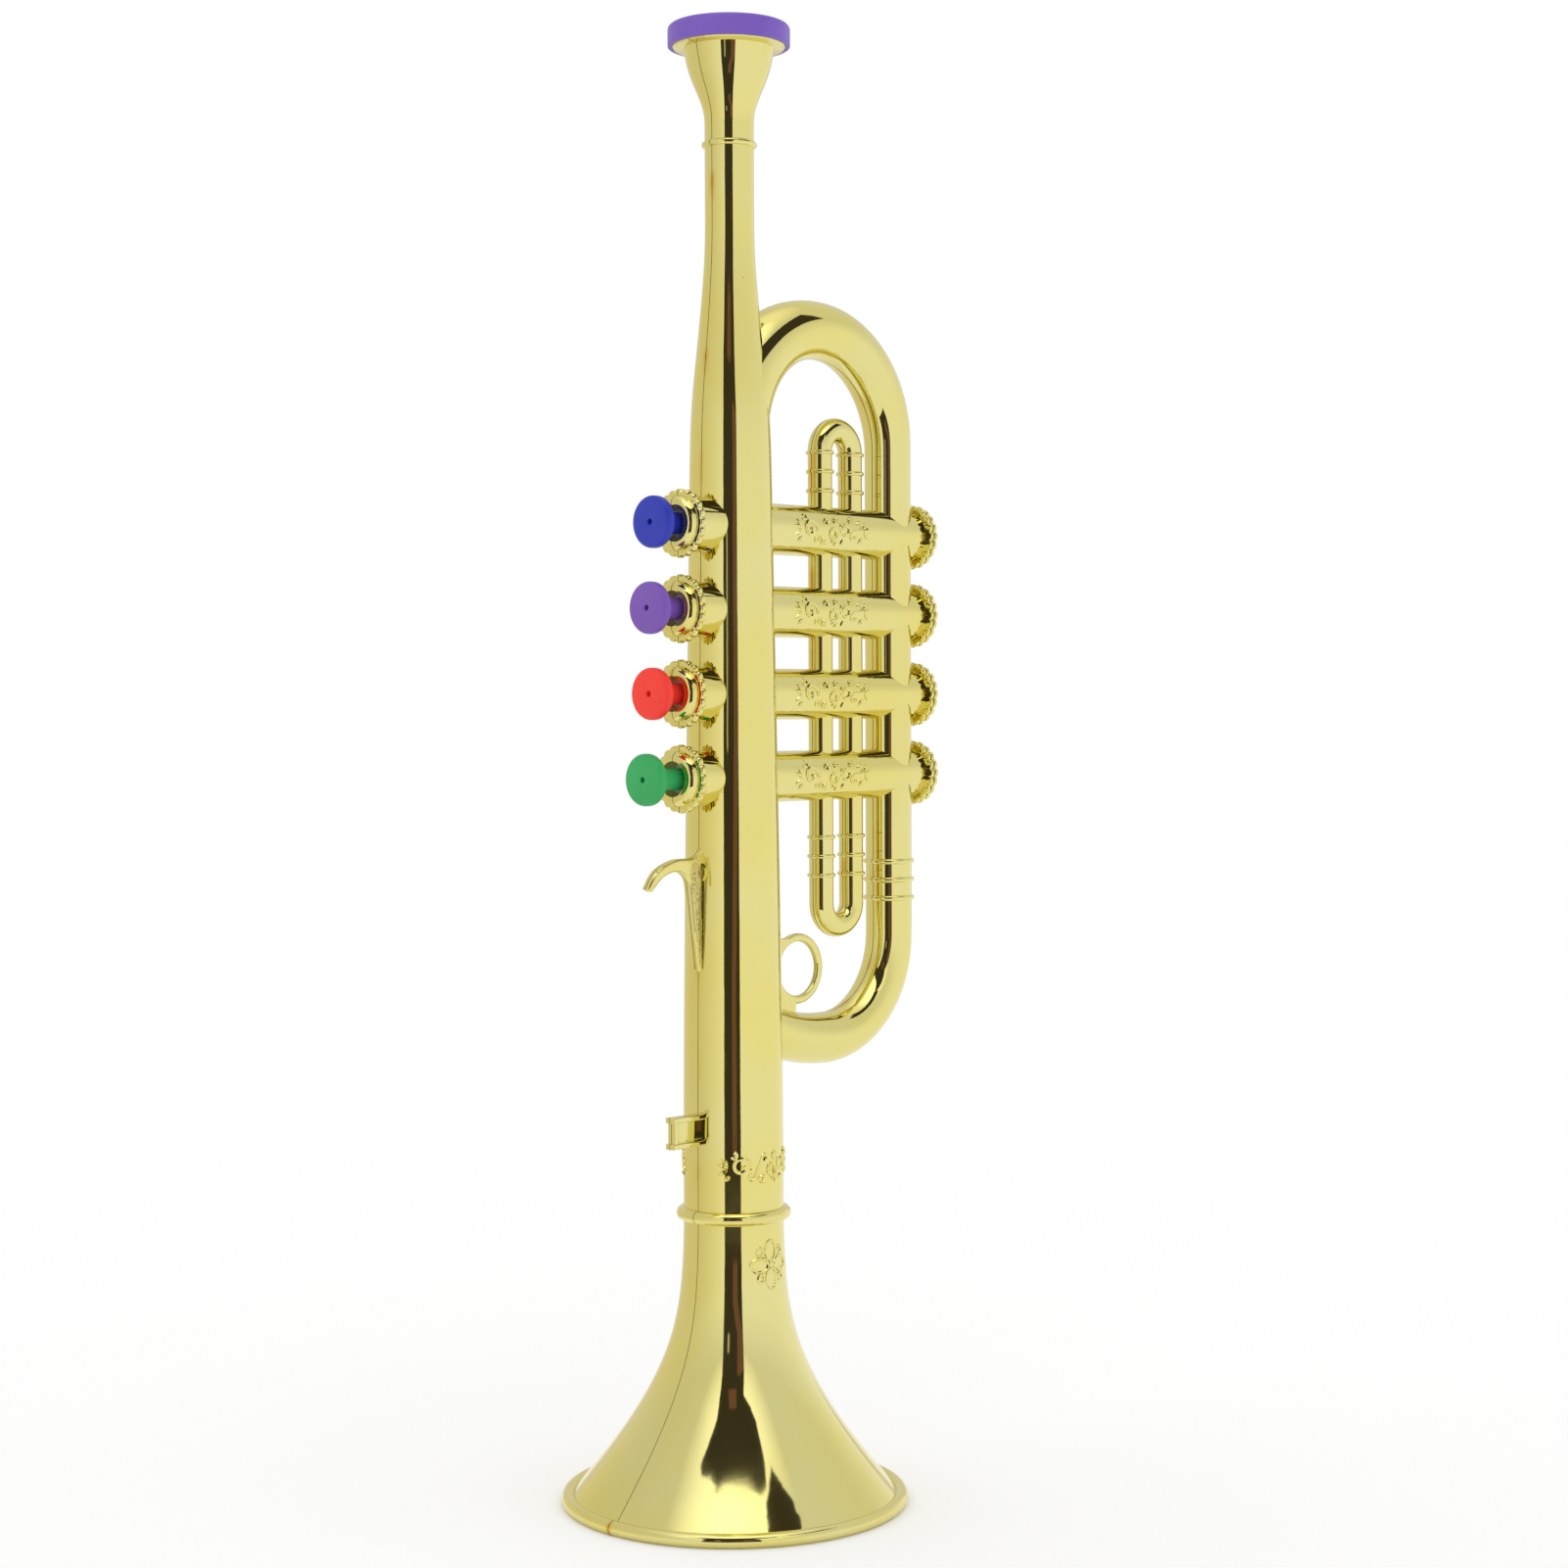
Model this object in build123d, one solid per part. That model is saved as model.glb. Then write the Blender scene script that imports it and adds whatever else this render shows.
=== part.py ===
from build123d import *
import os
from math import hypot

# Toy trumpet with four push buttons, in millimetres.
# The origin is the centre of the bell's rim, in the plane that it stands on. +Z runs up the main tube
# to the mouthpiece, +X points to the tubing loop, and the buttons are on the -X side.
# The body is two mirrored mouldings that meet on the plane Y = 0.

# Moulding
wall = 1.3
slide_wall = 1.1
running_clearance = 0.06
fit_clearance = 0.05
flush_gap = 0.1
cut_over = 2.0

# Bell and main tube, stage by stage from the rim upwards
rim_radius = 41.95
throat_radius = 13.16
shoulder_radius = 10.25
lead_radius = 6.15
flare_height = 58.0
tube_length = 204.0
shoulder_length = 60.0
lead_length = 23.0
lip_bead_radius = 1.79
lip_bead_lift = 1.6

# Mouthpiece cup, its flange and its ring
cup_rise = 19.0
cup_radius = 11.4
flange_radius = 14.1
flange_lift = 0.3
flange_thickness = 1.7
ring_rim = 1.18
ring_cover = 1.4
ring_height = 5.4
ring_round = 1.3
ring_inner_round = 0.9

# Bead collars on the main tube
lead_collar_drop = 4.7
lead_collar_bead = 0.79
bell_collar_rise = 15.2
bell_collar_bead = 1.65

# Outline of each stage: (share of the height, share of the radius change)
flare_shares = ((0.038, 0.974), (0.138, 0.804), (0.293, 0.561), (0.517, 0.273), (0.75, 0.082), (1.0, 0.0))
tube_shares = ((0.108, 0.807), (0.417, 0.636), (0.662, 0.388), (0.868, 0.155), (1.0, 0.0))
shoulder_shares = ((0.217, 0.878), (0.467, 0.524), (0.7, 0.195), (0.85, 0.045), (1.0, 0.0))
cup_shares = ((0.0, 0.0), (0.16, 0.04), (0.316, 0.196), (0.526, 0.509), (0.737, 0.787), (1.0, 1.0))

# Valve casings
valve_top_drop = 16.6
valve_pitch = 20.97
casing_radius = 6.5
casing_stub = 1.9
neck_radius = 6.9
neck_stub = 5.47
neck_bore_radius = 4.4
end_cap_wall = 1.5
scallop_count = 20
scallop_lip = 1.62
scallop_lobe_radius = 1.45
front_plate = 1.6
scallop_plate = 1.1
scallop_groove = 0.4
scallop_groove_lift = 0.6
dome_ring_radius = 4.6
dome_ring_bead = 2.3
port_radius = 2.7
seat_stand = 2.9

# Outer tubing loop
leg_x = 59.2
leg_radius = 6.1
top_bend_rise = 23.0
top_bend_radius = 28.7
top_run_radius = 30.5
top_run_turn = 88.0
top_apex_radius = 7.4
top_end_radius = 9.7
low_bend_drop = 42.4
low_bend_radius = 25.8
low_run_radius = 60.0
low_run_turn = 30.0
low_apex_radius = 6.6
low_end_radius = 6.1
leg_bead = 0.7
leg_bead_rise = 14.3
leg_bead_pitch = 4.85
bend_septum = 1.5

# Slide tubes through the casings
slide_radius = 3.15
slide_first_x = 32.85
slide_spread = 11.5
slide_rise = 20.8
slide_fall = 33.4
slide_bead = 0.55
slide_bead_top_drop = 5.3
slide_bead_low_rise = 12.4
slide_bead_pitch = 4.95
bead_rows = 3

# Buttons: the colour, and how far the cap still stands off its stop when it is pressed home
button_slacks = (("blue", 0.3), ("purple", 1.6), ("red", 1.0), ("green", 3.2))
travel = 4.5
cap_radius = 6.42
cap_thickness = 2.5
cap_round = 1.0
cap_back_round = 0.35
cap_hole_radius = 0.75
cap_hole_depth = 1.6
stem_radius = 2.65
stem_pass = 1.1

# Guide bush round the stem
bush_depth = 1.6
bush_length = 3.2

# Valve rod, its disc and seal pad
rod_radius = 1.2
rod_lead = 1.0
tail_engage = 1.5
disc_margin = 1.0
disc_thickness = 1.5
pad_thickness = 0.9

# Return spring
spring_wire_radius = 0.2
spring_radius = 2.3
spring_turns = 6
spring_room = 12.0

# Reed block, plate, tongue and rivet
block_bulkhead = 7.0
block_flat_lift = 0.6
block_tail = 1.0
guide_spare = 0.4
air_hole_radius = 1.0
air_hole_drop = 3.2
root_length = 2.1
channel_length = 11.0
channel_width = 2.4
channel_floor_drop = 4.0
plate_tail = 2.4
plate_width = 6.2
plate_thickness = 0.8
slot_width = 2.2
tongue_width = 1.8
tongue_thickness = 0.22
tongue_length_shares = (0.78, 0.85, 0.92, 1.0)
rivet_radius = 0.6
rivet_head_radius = 1.0
rivet_head = 0.45

# Walls and pin posts inside the main tube
partition_drop = 9.6
partition_thickness = 1.6
top_post_rise = 9.7
middle_post_drop = 10.0
low_post_rise = 26.8
post_radius = 2.1
pin_radius = 0.9
pin_length = 2.4

# Finger ring and its web
ring_stand = 11.2
ring_drop = 7.2
finger_inner_radius = 6.95
finger_section = 2.15
finger_thickness = 2.0
web_reach = 10.0
web_rise = 8.0
web_fall = 18.8

# Finger hook on the seam, on the buttons' side
hook_base_drop = 31.8
hook_reach = 18.6
hook_rise = 31.4
hook_thickness = 2.8
hook_pad_radius = 2.6
hook_pad_rise = 25.1
hook_pad_lift = 0.6
hook_top_shares = (
    (1.0, 0.69), (0.87, 0.8), (0.6, 0.889), (0.425, 0.911), (0.25, 0.911), (0.1, 0.93), (-0.03, 1.0),
)
hook_under_shares = ((0.92, 0.668), (0.78, 0.745), (0.54, 0.809), (0.35, 0.796), (0.27, 0.758), (0.21, 0.6))
hook_back_shares = ((0.165, 0.4), (0.08, 0.03), (0.02, 0.0))

# Music-clip block on the seam, on the buttons' side
clip_rise = 18.0
clip_reach = 9.85
clip_height = 7.9
clip_width = 3.1
clip_flange = 1.4
clip_web = 1.1
clip_end_inset = 0.6

# Heights worked out from the stages
shoulder_height = flare_height + tube_length
lead_height = shoulder_height + shoulder_length
cup_height = lead_height + lead_length
shell_top = cup_height + cup_rise + flange_lift + flange_thickness
lead_collar_height = cup_height - lead_collar_drop
bell_collar_height = flare_height + bell_collar_rise
valve_heights = [shoulder_height - valve_top_drop - i * valve_pitch for i in range(len(button_slacks))]
top_bend_height = valve_heights[0] + top_bend_rise
low_bend_height = valve_heights[-1] - low_bend_drop
slide_top = valve_heights[0] + slide_rise
slide_bottom = valve_heights[-1] - slide_fall
partition_height = valve_heights[-1] - neck_radius - partition_drop
post_heights = [
    valve_heights[0] + neck_radius + top_post_rise,
    partition_height - middle_post_drop,
    bell_collar_height + low_post_rise,
]
ring_z = low_bend_height - ring_drop
hook_base_z = partition_height - hook_base_drop
clip_bottom_z = bell_collar_height + clip_rise


def stretch(shares, radius_from, radius_to, bottom, height):
    """Outline points (radius, z) between two radii, from shares of the height and of the change."""
    return [(radius_to + (radius_from - radius_to) * r, bottom + height * z) for z, r in shares]


def tube_outline():
    """Outline of the bell and main tube, from the rim to the straight lead tube."""
    flare = stretch(flare_shares, rim_radius, throat_radius, 0, flare_height)
    tube = stretch(tube_shares, throat_radius, shoulder_radius, flare_height, tube_length)
    shoulder = stretch(shoulder_shares, shoulder_radius, lead_radius, shoulder_height, shoulder_length)
    return flare + tube + shoulder


def cup_outline():
    """Outline of the mouthpiece cup, from the lead tube to the flange."""
    return [(lead_radius + (cup_radius - lead_radius) * r, cup_height + cup_rise * z) for z, r in cup_shares]


def tube_radius(height):
    """Outer radius of the main tube at one height, from the outline's straight chords."""
    points = tube_outline()
    for (r0, z0), (r1, z1) in zip(points, points[1:]):
        if z0 <= height <= z1:
            return r0 + (r1 - r0) * (height - z0) / (z1 - z0)
    return lead_radius


# Places along X worked out from the widest tube that the valves cross
valve_tube_radius = tube_radius(valve_heights[-1])
neck_front_x = -valve_tube_radius - neck_stub
flange_x = neck_front_x - front_plate
end_plate_depth = 2 * scallop_plate + scallop_groove
chamber_radius = casing_radius - wall
casing_end_x = leg_x + leg_radius + casing_stub
bush_front_x = flange_x + bush_depth
bush_end_x = bush_front_x + bush_length
rod_front_x = bush_front_x - rod_lead
seat_x = valve_tube_radius + seat_stand
pad_front_x = seat_x + flush_gap
disc_front_x = pad_front_x + pad_thickness
disc_back_x = disc_front_x + disc_thickness
disc_radius = chamber_radius - disc_margin
block_front_x = seat_x + spring_room
block_flat_x = block_front_x + block_bulkhead
channel_start_x = block_flat_x + root_length
channel_end_x = channel_start_x + channel_length
plate_end_x = channel_end_x + plate_tail
rivet_x = block_flat_x + root_length / 2


def cap_gap(slack):
    """Room between a cap's back and the flange at rest."""
    return dome_ring_bead + travel + slack


stem_length = max(cap_gap(slack) for _, slack in button_slacks) + bush_end_x - flange_x + stem_pass


def rod_x(radius, start, end, height):
    """A round bar along +X at one height on the seam plane."""
    bar = Cylinder(radius, end - start, align=(Align.CENTER, Align.CENTER, Align.MIN))
    return Pos(start, 0, height) * Rot(0, 90, 0) * bar


def rod_y(radius, x, start, end, height):
    """A round bar along +Y."""
    bar = Cylinder(radius, end - start, align=(Align.CENTER, Align.CENTER, Align.MIN))
    return Pos(x, start, height) * Rot(-90, 0, 0) * bar


def rod_z(radius, x, bottom, top):
    """A round bar along +Z on the seam plane."""
    bar = Cylinder(radius, top - bottom, align=(Align.CENTER, Align.CENTER, Align.MIN))
    return Pos(x, 0, bottom) * bar


def block(x_start, x_end, width, z_start, z_end):
    """A box centred on the seam plane."""
    box = Box(x_end - x_start, width, z_end - z_start, align=(Align.MIN, Align.CENTER, Align.MIN))
    return Pos(x_start, 0, z_start) * box


def inset_points(points, inset):
    """The same outline moved inwards along its normals."""
    moved = []
    for i, (r, z) in enumerate(points):
        before = points[max(i - 1, 0)]
        after = points[min(i + 1, len(points) - 1)]
        dr, dz = after[0] - before[0], after[1] - before[1]
        size = hypot(dr, dz)
        moved.append((r - inset * dz / size, z + inset * dr / size))
    return moved


def turned(inset):
    """The bell, main tube, lead tube and cup as one turned solid, moved inwards by the inset."""
    tube = inset_points(tube_outline(), inset)
    cup = inset_points(cup_outline(), inset)
    cup[0] = (lead_radius - inset, cup_height)
    tube[-1] = (lead_radius - inset, lead_height)
    low = tube[0]
    if inset > 0:
        bottom, top = -cut_over, shell_top + cut_over
        rim = [(cup[-1][0], top)]
    else:
        bottom, top = lip_bead_lift, shell_top
        rim = [(flange_radius, shell_top - flange_thickness), (flange_radius, shell_top)]
    outline = Spline(*tube, tangents=[(tube[1][0] - low[0], tube[1][1] - low[1]), (0, 1)])
    outline += Line(tube[-1], cup[0])
    outline += Spline(*cup, tangents=[(0, 1), (cup[-1][0] - cup[-2][0], cup[-1][1] - cup[-2][1])])
    outline += Polyline(cup[-1], *rim, (0, top), (0, bottom), (low[0], bottom), low)
    return revolve(Plane.XZ * make_face(outline), Axis.Z)


def bend(centre_x, centre_z, radius, start_angle, turn, start_tube, end_tube):
    """A bent tube in the seam plane whose own radius changes evenly along the arc."""
    path = Plane.XZ * CenterArc((centre_x, centre_z), radius, start_angle, turn)
    sections = [
        Plane(origin=path @ 0, z_dir=path % 0) * Circle(start_tube),
        Plane(origin=path @ 1, z_dir=path % 1) * Circle(end_tube),
    ]
    return sweep(sections, path=path, multisection=True)


def loop_tubes(inset):
    """The outer loop: the long leg, its two bends, and the runs that join the main tube."""
    tube = leg_radius - inset
    top_tube, low_tube = top_apex_radius - inset, low_apex_radius - inset
    top_x, low_x = leg_x - top_bend_radius, leg_x - low_bend_radius
    top_z = top_bend_height + top_bend_radius - top_run_radius
    low_z = low_bend_height - low_bend_radius + low_run_radius
    return [
        rod_z(tube, leg_x, low_bend_height, top_bend_height),
        bend(top_x, top_bend_height, top_bend_radius, 0, 90, tube, top_tube),
        bend(top_x, top_z, top_run_radius, 90, top_run_turn, top_tube, top_end_radius - inset),
        bend(low_x, low_bend_height, low_bend_radius, 0, -90, tube, low_tube),
        bend(low_x, low_z, low_run_radius, -90, -low_run_turn, low_tube, low_end_radius - inset),
    ]


def slide_tubes(inset):
    """The small slide: two straight tubes and a half turn at each end."""
    radius = slide_radius - inset
    half = slide_spread / 2
    middle = slide_first_x + half
    tubes = [rod_z(radius, x, slide_bottom, slide_top) for x in (middle - half, middle + half)]
    tubes.append(bend(middle, slide_top, half, 0, 180, radius, radius))
    tubes.append(bend(middle, slide_bottom, half, 0, -180, radius, radius))
    return tubes


def collar(radius, bead, height):
    """A half-round band round the main tube, with its flat back inside the wall."""
    back, low, high = radius - wall, height - bead, height + bead
    outline = CenterArc((radius, height), bead, -90, 180)
    outline += Polyline((radius, high), (back, high), (back, low), (radius, low))
    return revolve(Plane.XZ * make_face(outline), Axis.Z)


def beads():
    """Round bands on the leg and on both ends of the slide tubes."""
    bands = []
    leg_z = low_bend_height + leg_bead_rise
    slide_zs = (slide_top - slide_bead_top_drop, slide_bottom + slide_bead_low_rise)
    for row in range(bead_rows):
        step = row - (bead_rows - 1) / 2
        bands.append(Pos(leg_x, 0, leg_z + step * leg_bead_pitch) * Torus(leg_radius, leg_bead))
        for x in (slide_first_x, slide_first_x + slide_spread):
            for height in slide_zs:
                bands.append(Pos(x, 0, height + step * slide_bead_pitch) * Torus(slide_radius, slide_bead))
    return bands


def scalloped_disc(thickness):
    """A disc about Z whose rim is a ring of lobes."""
    lobe_places = PolarLocations(neck_radius + scallop_lip - scallop_lobe_radius, scallop_count)
    return extrude(Circle(neck_radius) + lobe_places * Circle(scallop_lobe_radius), thickness)


def end_plates():
    """Two scalloped discs with a groove between them."""
    disc = scalloped_disc(scallop_plate)
    second = Pos(0, 0, scallop_plate + scallop_groove) * disc
    return rod_z(neck_radius + scallop_groove_lift, 0, 0, end_plate_depth) + disc + second


def casing_outside(height):
    """One valve casing: neck, scalloped flange with its domed ring, barrel and scalloped end."""
    front = Pos(flange_x, 0, height) * Rot(0, 90, 0)
    end = Pos(casing_end_x, 0, height) * Rot(0, 90, 0)
    return [
        rod_x(neck_radius, neck_front_x, 0, height),
        rod_x(casing_radius, 0, casing_end_x, height),
        front * scalloped_disc(front_plate),
        front * Torus(dome_ring_radius, dome_ring_bead),
        end * end_plates(),
    ]


def casing_inside(height):
    """The casing's hollows: the neck's bore, the port through the seat, and the reed chamber."""
    chamber_end = casing_end_x + end_plate_depth - end_cap_wall
    return [
        rod_x(neck_bore_radius, flange_x - dome_ring_bead - cut_over, 0, height),
        rod_x(port_radius, 0, seat_x, height),
        rod_x(chamber_radius, seat_x, chamber_end, height),
    ]


def finger_ring():
    """The ring for a finger, with the web that ties it to the main tube and the lower run."""
    tube = tube_radius(ring_z)
    centre = tube + ring_stand
    outer_radius = finger_inner_radius + finger_section
    ring = rod_y(outer_radius, centre, -finger_thickness / 2, finger_thickness / 2, ring_z)
    web = block(tube - wall, tube + web_reach, finger_thickness, ring_z - web_fall, ring_z + web_rise)
    hole = rod_y(finger_inner_radius, centre, -finger_thickness, finger_thickness, ring_z)
    return ring + web - hole


def hook_points(shares):
    """Outline points (x, z) of the hook, from shares of its reach and its rise."""
    root_x = -tube_radius(hook_base_z + hook_rise)
    return [(root_x - hook_reach * x, hook_base_z + hook_rise * z) for x, z in shares]


def finger_hook():
    """The hook for the little finger, a flat moulded profile with a pad at its root."""
    root_x = -tube_radius(hook_base_z + hook_rise)
    inside_x = root_x + wall
    top, under = hook_points(hook_top_shares), hook_points(hook_under_shares)
    back = hook_points(hook_back_shares)
    outline = Spline(*top)
    outline += Spline(*under)
    outline += Line(top[0], under[0])
    outline += Polyline(under[-1], *back, (inside_x, back[-1][1]), (inside_x, top[-1][1]), top[-1])
    profile = extrude(Plane.XZ * make_face(outline), hook_thickness / 2, both=True)
    pad = rod_x(hook_pad_radius, root_x - hook_pad_lift, inside_x, hook_base_z + hook_pad_rise)
    return [profile, pad]


def clip_block():
    """The I-shaped block that holds a music clip: two flanges joined by a thin web."""
    top_z = clip_bottom_z + clip_height
    tube = tube_radius(clip_bottom_z)
    root_x, tip_x = wall - tube, -tube - clip_reach
    end_x = tip_x + clip_end_inset
    return [
        block(tip_x, root_x, clip_width, clip_bottom_z, clip_bottom_z + clip_flange),
        block(tip_x, root_x, clip_width, top_z - clip_flange, top_z),
        block(end_x, root_x, clip_web, clip_bottom_z, top_z),
        block(end_x, end_x + clip_flange, clip_width - clip_end_inset, clip_bottom_z, top_z),
    ]


def post_bars(radius):
    """Posts that carry the locating pins, right across the main tube."""
    return [rod_y(radius, 0, -throat_radius, throat_radius, height) for height in post_heights]


def body_outside():
    """Every outer form of the two halves as one solid."""
    forms = [
        Pos(0, 0, lip_bead_lift) * Torus(rim_radius, lip_bead_radius),
        collar(lead_radius, lead_collar_bead, lead_collar_height),
        collar(tube_radius(bell_collar_height), bell_collar_bead, bell_collar_height),
    ]
    forms += loop_tubes(0)
    forms += slide_tubes(0)
    forms += beads()
    for height in valve_heights:
        forms += casing_outside(height)
    forms.append(finger_ring())
    forms += finger_hook()
    forms += clip_block()
    return turned(0) + forms


def body_hollows():
    """Every hollow of the two halves: the wind way, the loop, the chambers and the slide tubes."""
    main = turned(wall)
    partition = rod_z(throat_radius, 0, partition_height, partition_height + partition_thickness)
    main -= [partition] + post_bars(post_radius)
    apex_x, apex_z = leg_x - top_bend_radius, top_bend_height + top_bend_radius
    septum_low, septum_high = apex_z - top_apex_radius, apex_z + top_apex_radius
    septum = block(apex_x, apex_x + bend_septum, 2 * top_apex_radius, septum_low, septum_high)
    loop = Part() + loop_tubes(wall)
    loop -= septum
    casings = [rod_x(casing_radius, 0, casing_end_x, height) for height in valve_heights]
    slides = Part() + slide_tubes(slide_wall)
    slides -= casings
    chambers = [form for height in valve_heights for form in casing_inside(height)]
    return [main, loop, slides] + chambers


def body_halves():
    """The left half with its pins, and the right half with their sockets."""
    reach = shell_top + cut_over
    left_space = Box(2 * reach, reach, reach, align=(Align.CENTER, Align.MAX, Align.MIN))
    left = (body_outside() - body_hollows()) & left_space
    right = mirror(left, about=Plane.XZ)
    pins = [rod_y(pin_radius, 0, -pin_length, pin_length, height) for height in post_heights]
    socket_radius = pin_radius + running_clearance
    socket_depth = pin_length + flush_gap
    sockets = [rod_y(socket_radius, 0, 0, socket_depth, height) for height in post_heights]
    return left + pins, right - sockets


def mouthpiece_ring():
    """The soft ring over the cup's flange, rounded on top, with a rebate for the flange."""
    bottom = shell_top - ring_cover
    top = bottom + ring_height
    ring = rod_z(flange_radius + ring_rim, 0, bottom, top)
    ring -= rod_z(cup_radius - wall, 0, bottom - cut_over, top + cut_over)
    rims = ring.edges().filter_by(GeomType.CIRCLE).group_by(Axis.Z)[-1].sort_by(SortBy.RADIUS)
    ring = fillet(rims[-1], ring_round)
    rims = ring.edges().filter_by(GeomType.CIRCLE).group_by(Axis.Z)[-1].sort_by(SortBy.RADIUS)
    ring = fillet(rims[0], ring_inner_round)
    return ring - rod_z(flange_radius + fit_clearance, 0, bottom - cut_over, shell_top)


def push_button(slack, height):
    """A cap with a rounded face edge and a pin hole, and its stem with a socket for the rod."""
    back = flange_x - cap_gap(slack)
    face = back - cap_thickness
    cap = rod_x(cap_radius, face, back, height)
    cap = fillet(cap.edges().filter_by(GeomType.CIRCLE).sort_by(Axis.X)[0], cap_round)
    cap = fillet(cap.edges().filter_by(GeomType.CIRCLE).sort_by(Axis.X)[-1], cap_back_round)
    stem = rod_x(stem_radius, back - cap_back_round, back + stem_length, height)
    hole = rod_x(cap_hole_radius, face - cut_over, face + cap_hole_depth, height)
    socket_end = back + stem_length + cut_over
    socket = rod_x(rod_radius + fit_clearance, rod_front_x - flush_gap, socket_end, height)
    return cap + stem - hole - socket


def valve_rod(height):
    """A thin rod that ends in the button's stem, with the disc that carries the pad and a guide tail."""
    rod = rod_x(rod_radius, rod_front_x, block_front_x + tail_engage, height)
    return rod + rod_x(disc_radius, disc_front_x, disc_back_x, height)


def seal_pad(height):
    """A soft washer on the disc's front face, which closes the port."""
    hole = rod_x(rod_radius + fit_clearance, pad_front_x - cut_over, disc_front_x + cut_over, height)
    return rod_x(disc_radius, pad_front_x, disc_front_x, height) - hole


def return_spring(height):
    """A helical spring between the disc and the reed block."""
    start = disc_back_x + flush_gap + spring_wire_radius
    length = block_front_x - flush_gap - spring_wire_radius - start
    coil = Helix(length / spring_turns, length, spring_radius)
    wire = Plane(origin=coil @ 0, z_dir=coil % 0) * Circle(spring_wire_radius)
    return Pos(start, 0, height) * Rot(0, 90, 0) * sweep(wire, path=coil, is_frenet=True)


def guide_bush(height):
    """A bush in the neck that guides the button's stem."""
    hole = rod_x(stem_radius + running_clearance, bush_front_x - cut_over, bush_end_x + cut_over, height)
    return rod_x(neck_bore_radius - fit_clearance, bush_front_x, bush_end_x, height) - hole


def reed_block(height):
    """A plug across the chamber, with a flat for the reed plate and an air way under it."""
    end = plate_end_x + block_tail
    before = block_front_x - cut_over
    flat_z = height + block_flat_lift
    guide_end = block_front_x + tail_engage + travel + guide_spare
    plug = rod_x(chamber_radius - fit_clearance, block_front_x, end, height)
    plug -= block(block_flat_x, end + cut_over, 2 * casing_radius, flat_z, flat_z + casing_radius)
    plug -= rod_x(rod_radius + running_clearance, before, guide_end, height)
    plug -= block(channel_start_x, channel_end_x, channel_width, height - channel_floor_drop, flat_z)
    return plug - rod_x(air_hole_radius, before, channel_start_x + air_hole_radius, height - air_hole_drop)


def reed_plate(height):
    """A brass plate on the block's flat, with the slot that the tongue swings in."""
    low = height + block_flat_lift
    high = low + plate_thickness
    plate = block(block_flat_x + flush_gap, plate_end_x, plate_width, low, high)
    slot_start, slot_end = channel_start_x + flush_gap, channel_end_x - flush_gap
    plate -= block(slot_start, slot_end, slot_width, low - cut_over, high + cut_over)
    return plate - rod_z(rivet_radius + fit_clearance, rivet_x, low - cut_over, high + cut_over)


def reed_tongue(height, length_share):
    """A thin springy tongue over the slot, held at its root by the rivet."""
    low = height + block_flat_lift + plate_thickness
    root = rivet_x - rivet_head_radius
    free = channel_start_x + (channel_length - 2 * flush_gap) * length_share
    tongue = block(root, free, tongue_width, low, low + tongue_thickness)
    return tongue - rod_z(rivet_radius + fit_clearance, rivet_x, low - cut_over, low + cut_over)


def reed_rivet(height):
    """The rivet through the tongue and the plate, with a round head."""
    low = height + block_flat_lift
    head_low = low + plate_thickness + tongue_thickness
    shank = rod_z(rivet_radius, rivet_x, low, head_low)
    return shank + rod_z(rivet_head_radius, rivet_x, head_low, head_low + rivet_head)


def pieces():
    """Every separate piece, by name."""
    left, right = body_halves()
    made = {"left_shell": left, "right_shell": right, "mouthpiece_ring": mouthpiece_ring()}
    for (colour, slack), height, share in zip(button_slacks, valve_heights, tongue_length_shares):
        made[f"{colour}_button"] = push_button(slack, height)
        made[f"{colour}_guide_bush"] = guide_bush(height)
        made[f"{colour}_valve_rod"] = valve_rod(height)
        made[f"{colour}_seal_pad"] = seal_pad(height)
        made[f"{colour}_return_spring"] = return_spring(height)
        made[f"{colour}_reed_block"] = reed_block(height)
        made[f"{colour}_reed_plate"] = reed_plate(height)
        made[f"{colour}_reed_tongue"] = reed_tongue(height, share)
        made[f"{colour}_reed_rivet"] = reed_rivet(height)
    return made


os.makedirs("parts", exist_ok=True)
for name, piece in pieces().items():
    export_step(piece, f"parts/{name}.step")
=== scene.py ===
from math import ceil, cos, hypot, pi, radians, sin, sqrt

import bmesh
import bpy
import numpy as np
from mathutils import Matrix, Vector


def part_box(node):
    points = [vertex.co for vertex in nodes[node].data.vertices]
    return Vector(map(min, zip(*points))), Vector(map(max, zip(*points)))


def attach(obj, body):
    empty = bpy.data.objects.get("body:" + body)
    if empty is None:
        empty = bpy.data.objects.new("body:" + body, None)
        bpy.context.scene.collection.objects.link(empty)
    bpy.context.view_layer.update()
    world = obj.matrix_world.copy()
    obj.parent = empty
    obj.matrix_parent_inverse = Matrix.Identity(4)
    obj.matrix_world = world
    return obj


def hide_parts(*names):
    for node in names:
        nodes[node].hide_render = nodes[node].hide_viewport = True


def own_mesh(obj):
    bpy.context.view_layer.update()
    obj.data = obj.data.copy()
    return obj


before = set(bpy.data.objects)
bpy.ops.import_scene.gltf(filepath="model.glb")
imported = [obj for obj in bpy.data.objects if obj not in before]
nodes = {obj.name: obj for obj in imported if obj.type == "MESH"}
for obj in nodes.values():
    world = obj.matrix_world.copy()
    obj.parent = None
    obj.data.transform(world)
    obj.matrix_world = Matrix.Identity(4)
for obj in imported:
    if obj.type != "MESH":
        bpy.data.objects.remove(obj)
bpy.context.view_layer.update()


# Gold skin of the two mouldings
# Both halves are ABS, lacquered, vacuum-metallised and coated with a yellow lacquer. The skin is a mirror
# with a faint orange peel, tiny specks, and orange lacquer that has gathered along the parting line.
gold = (0.78, 0.715, 0.30)
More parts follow.
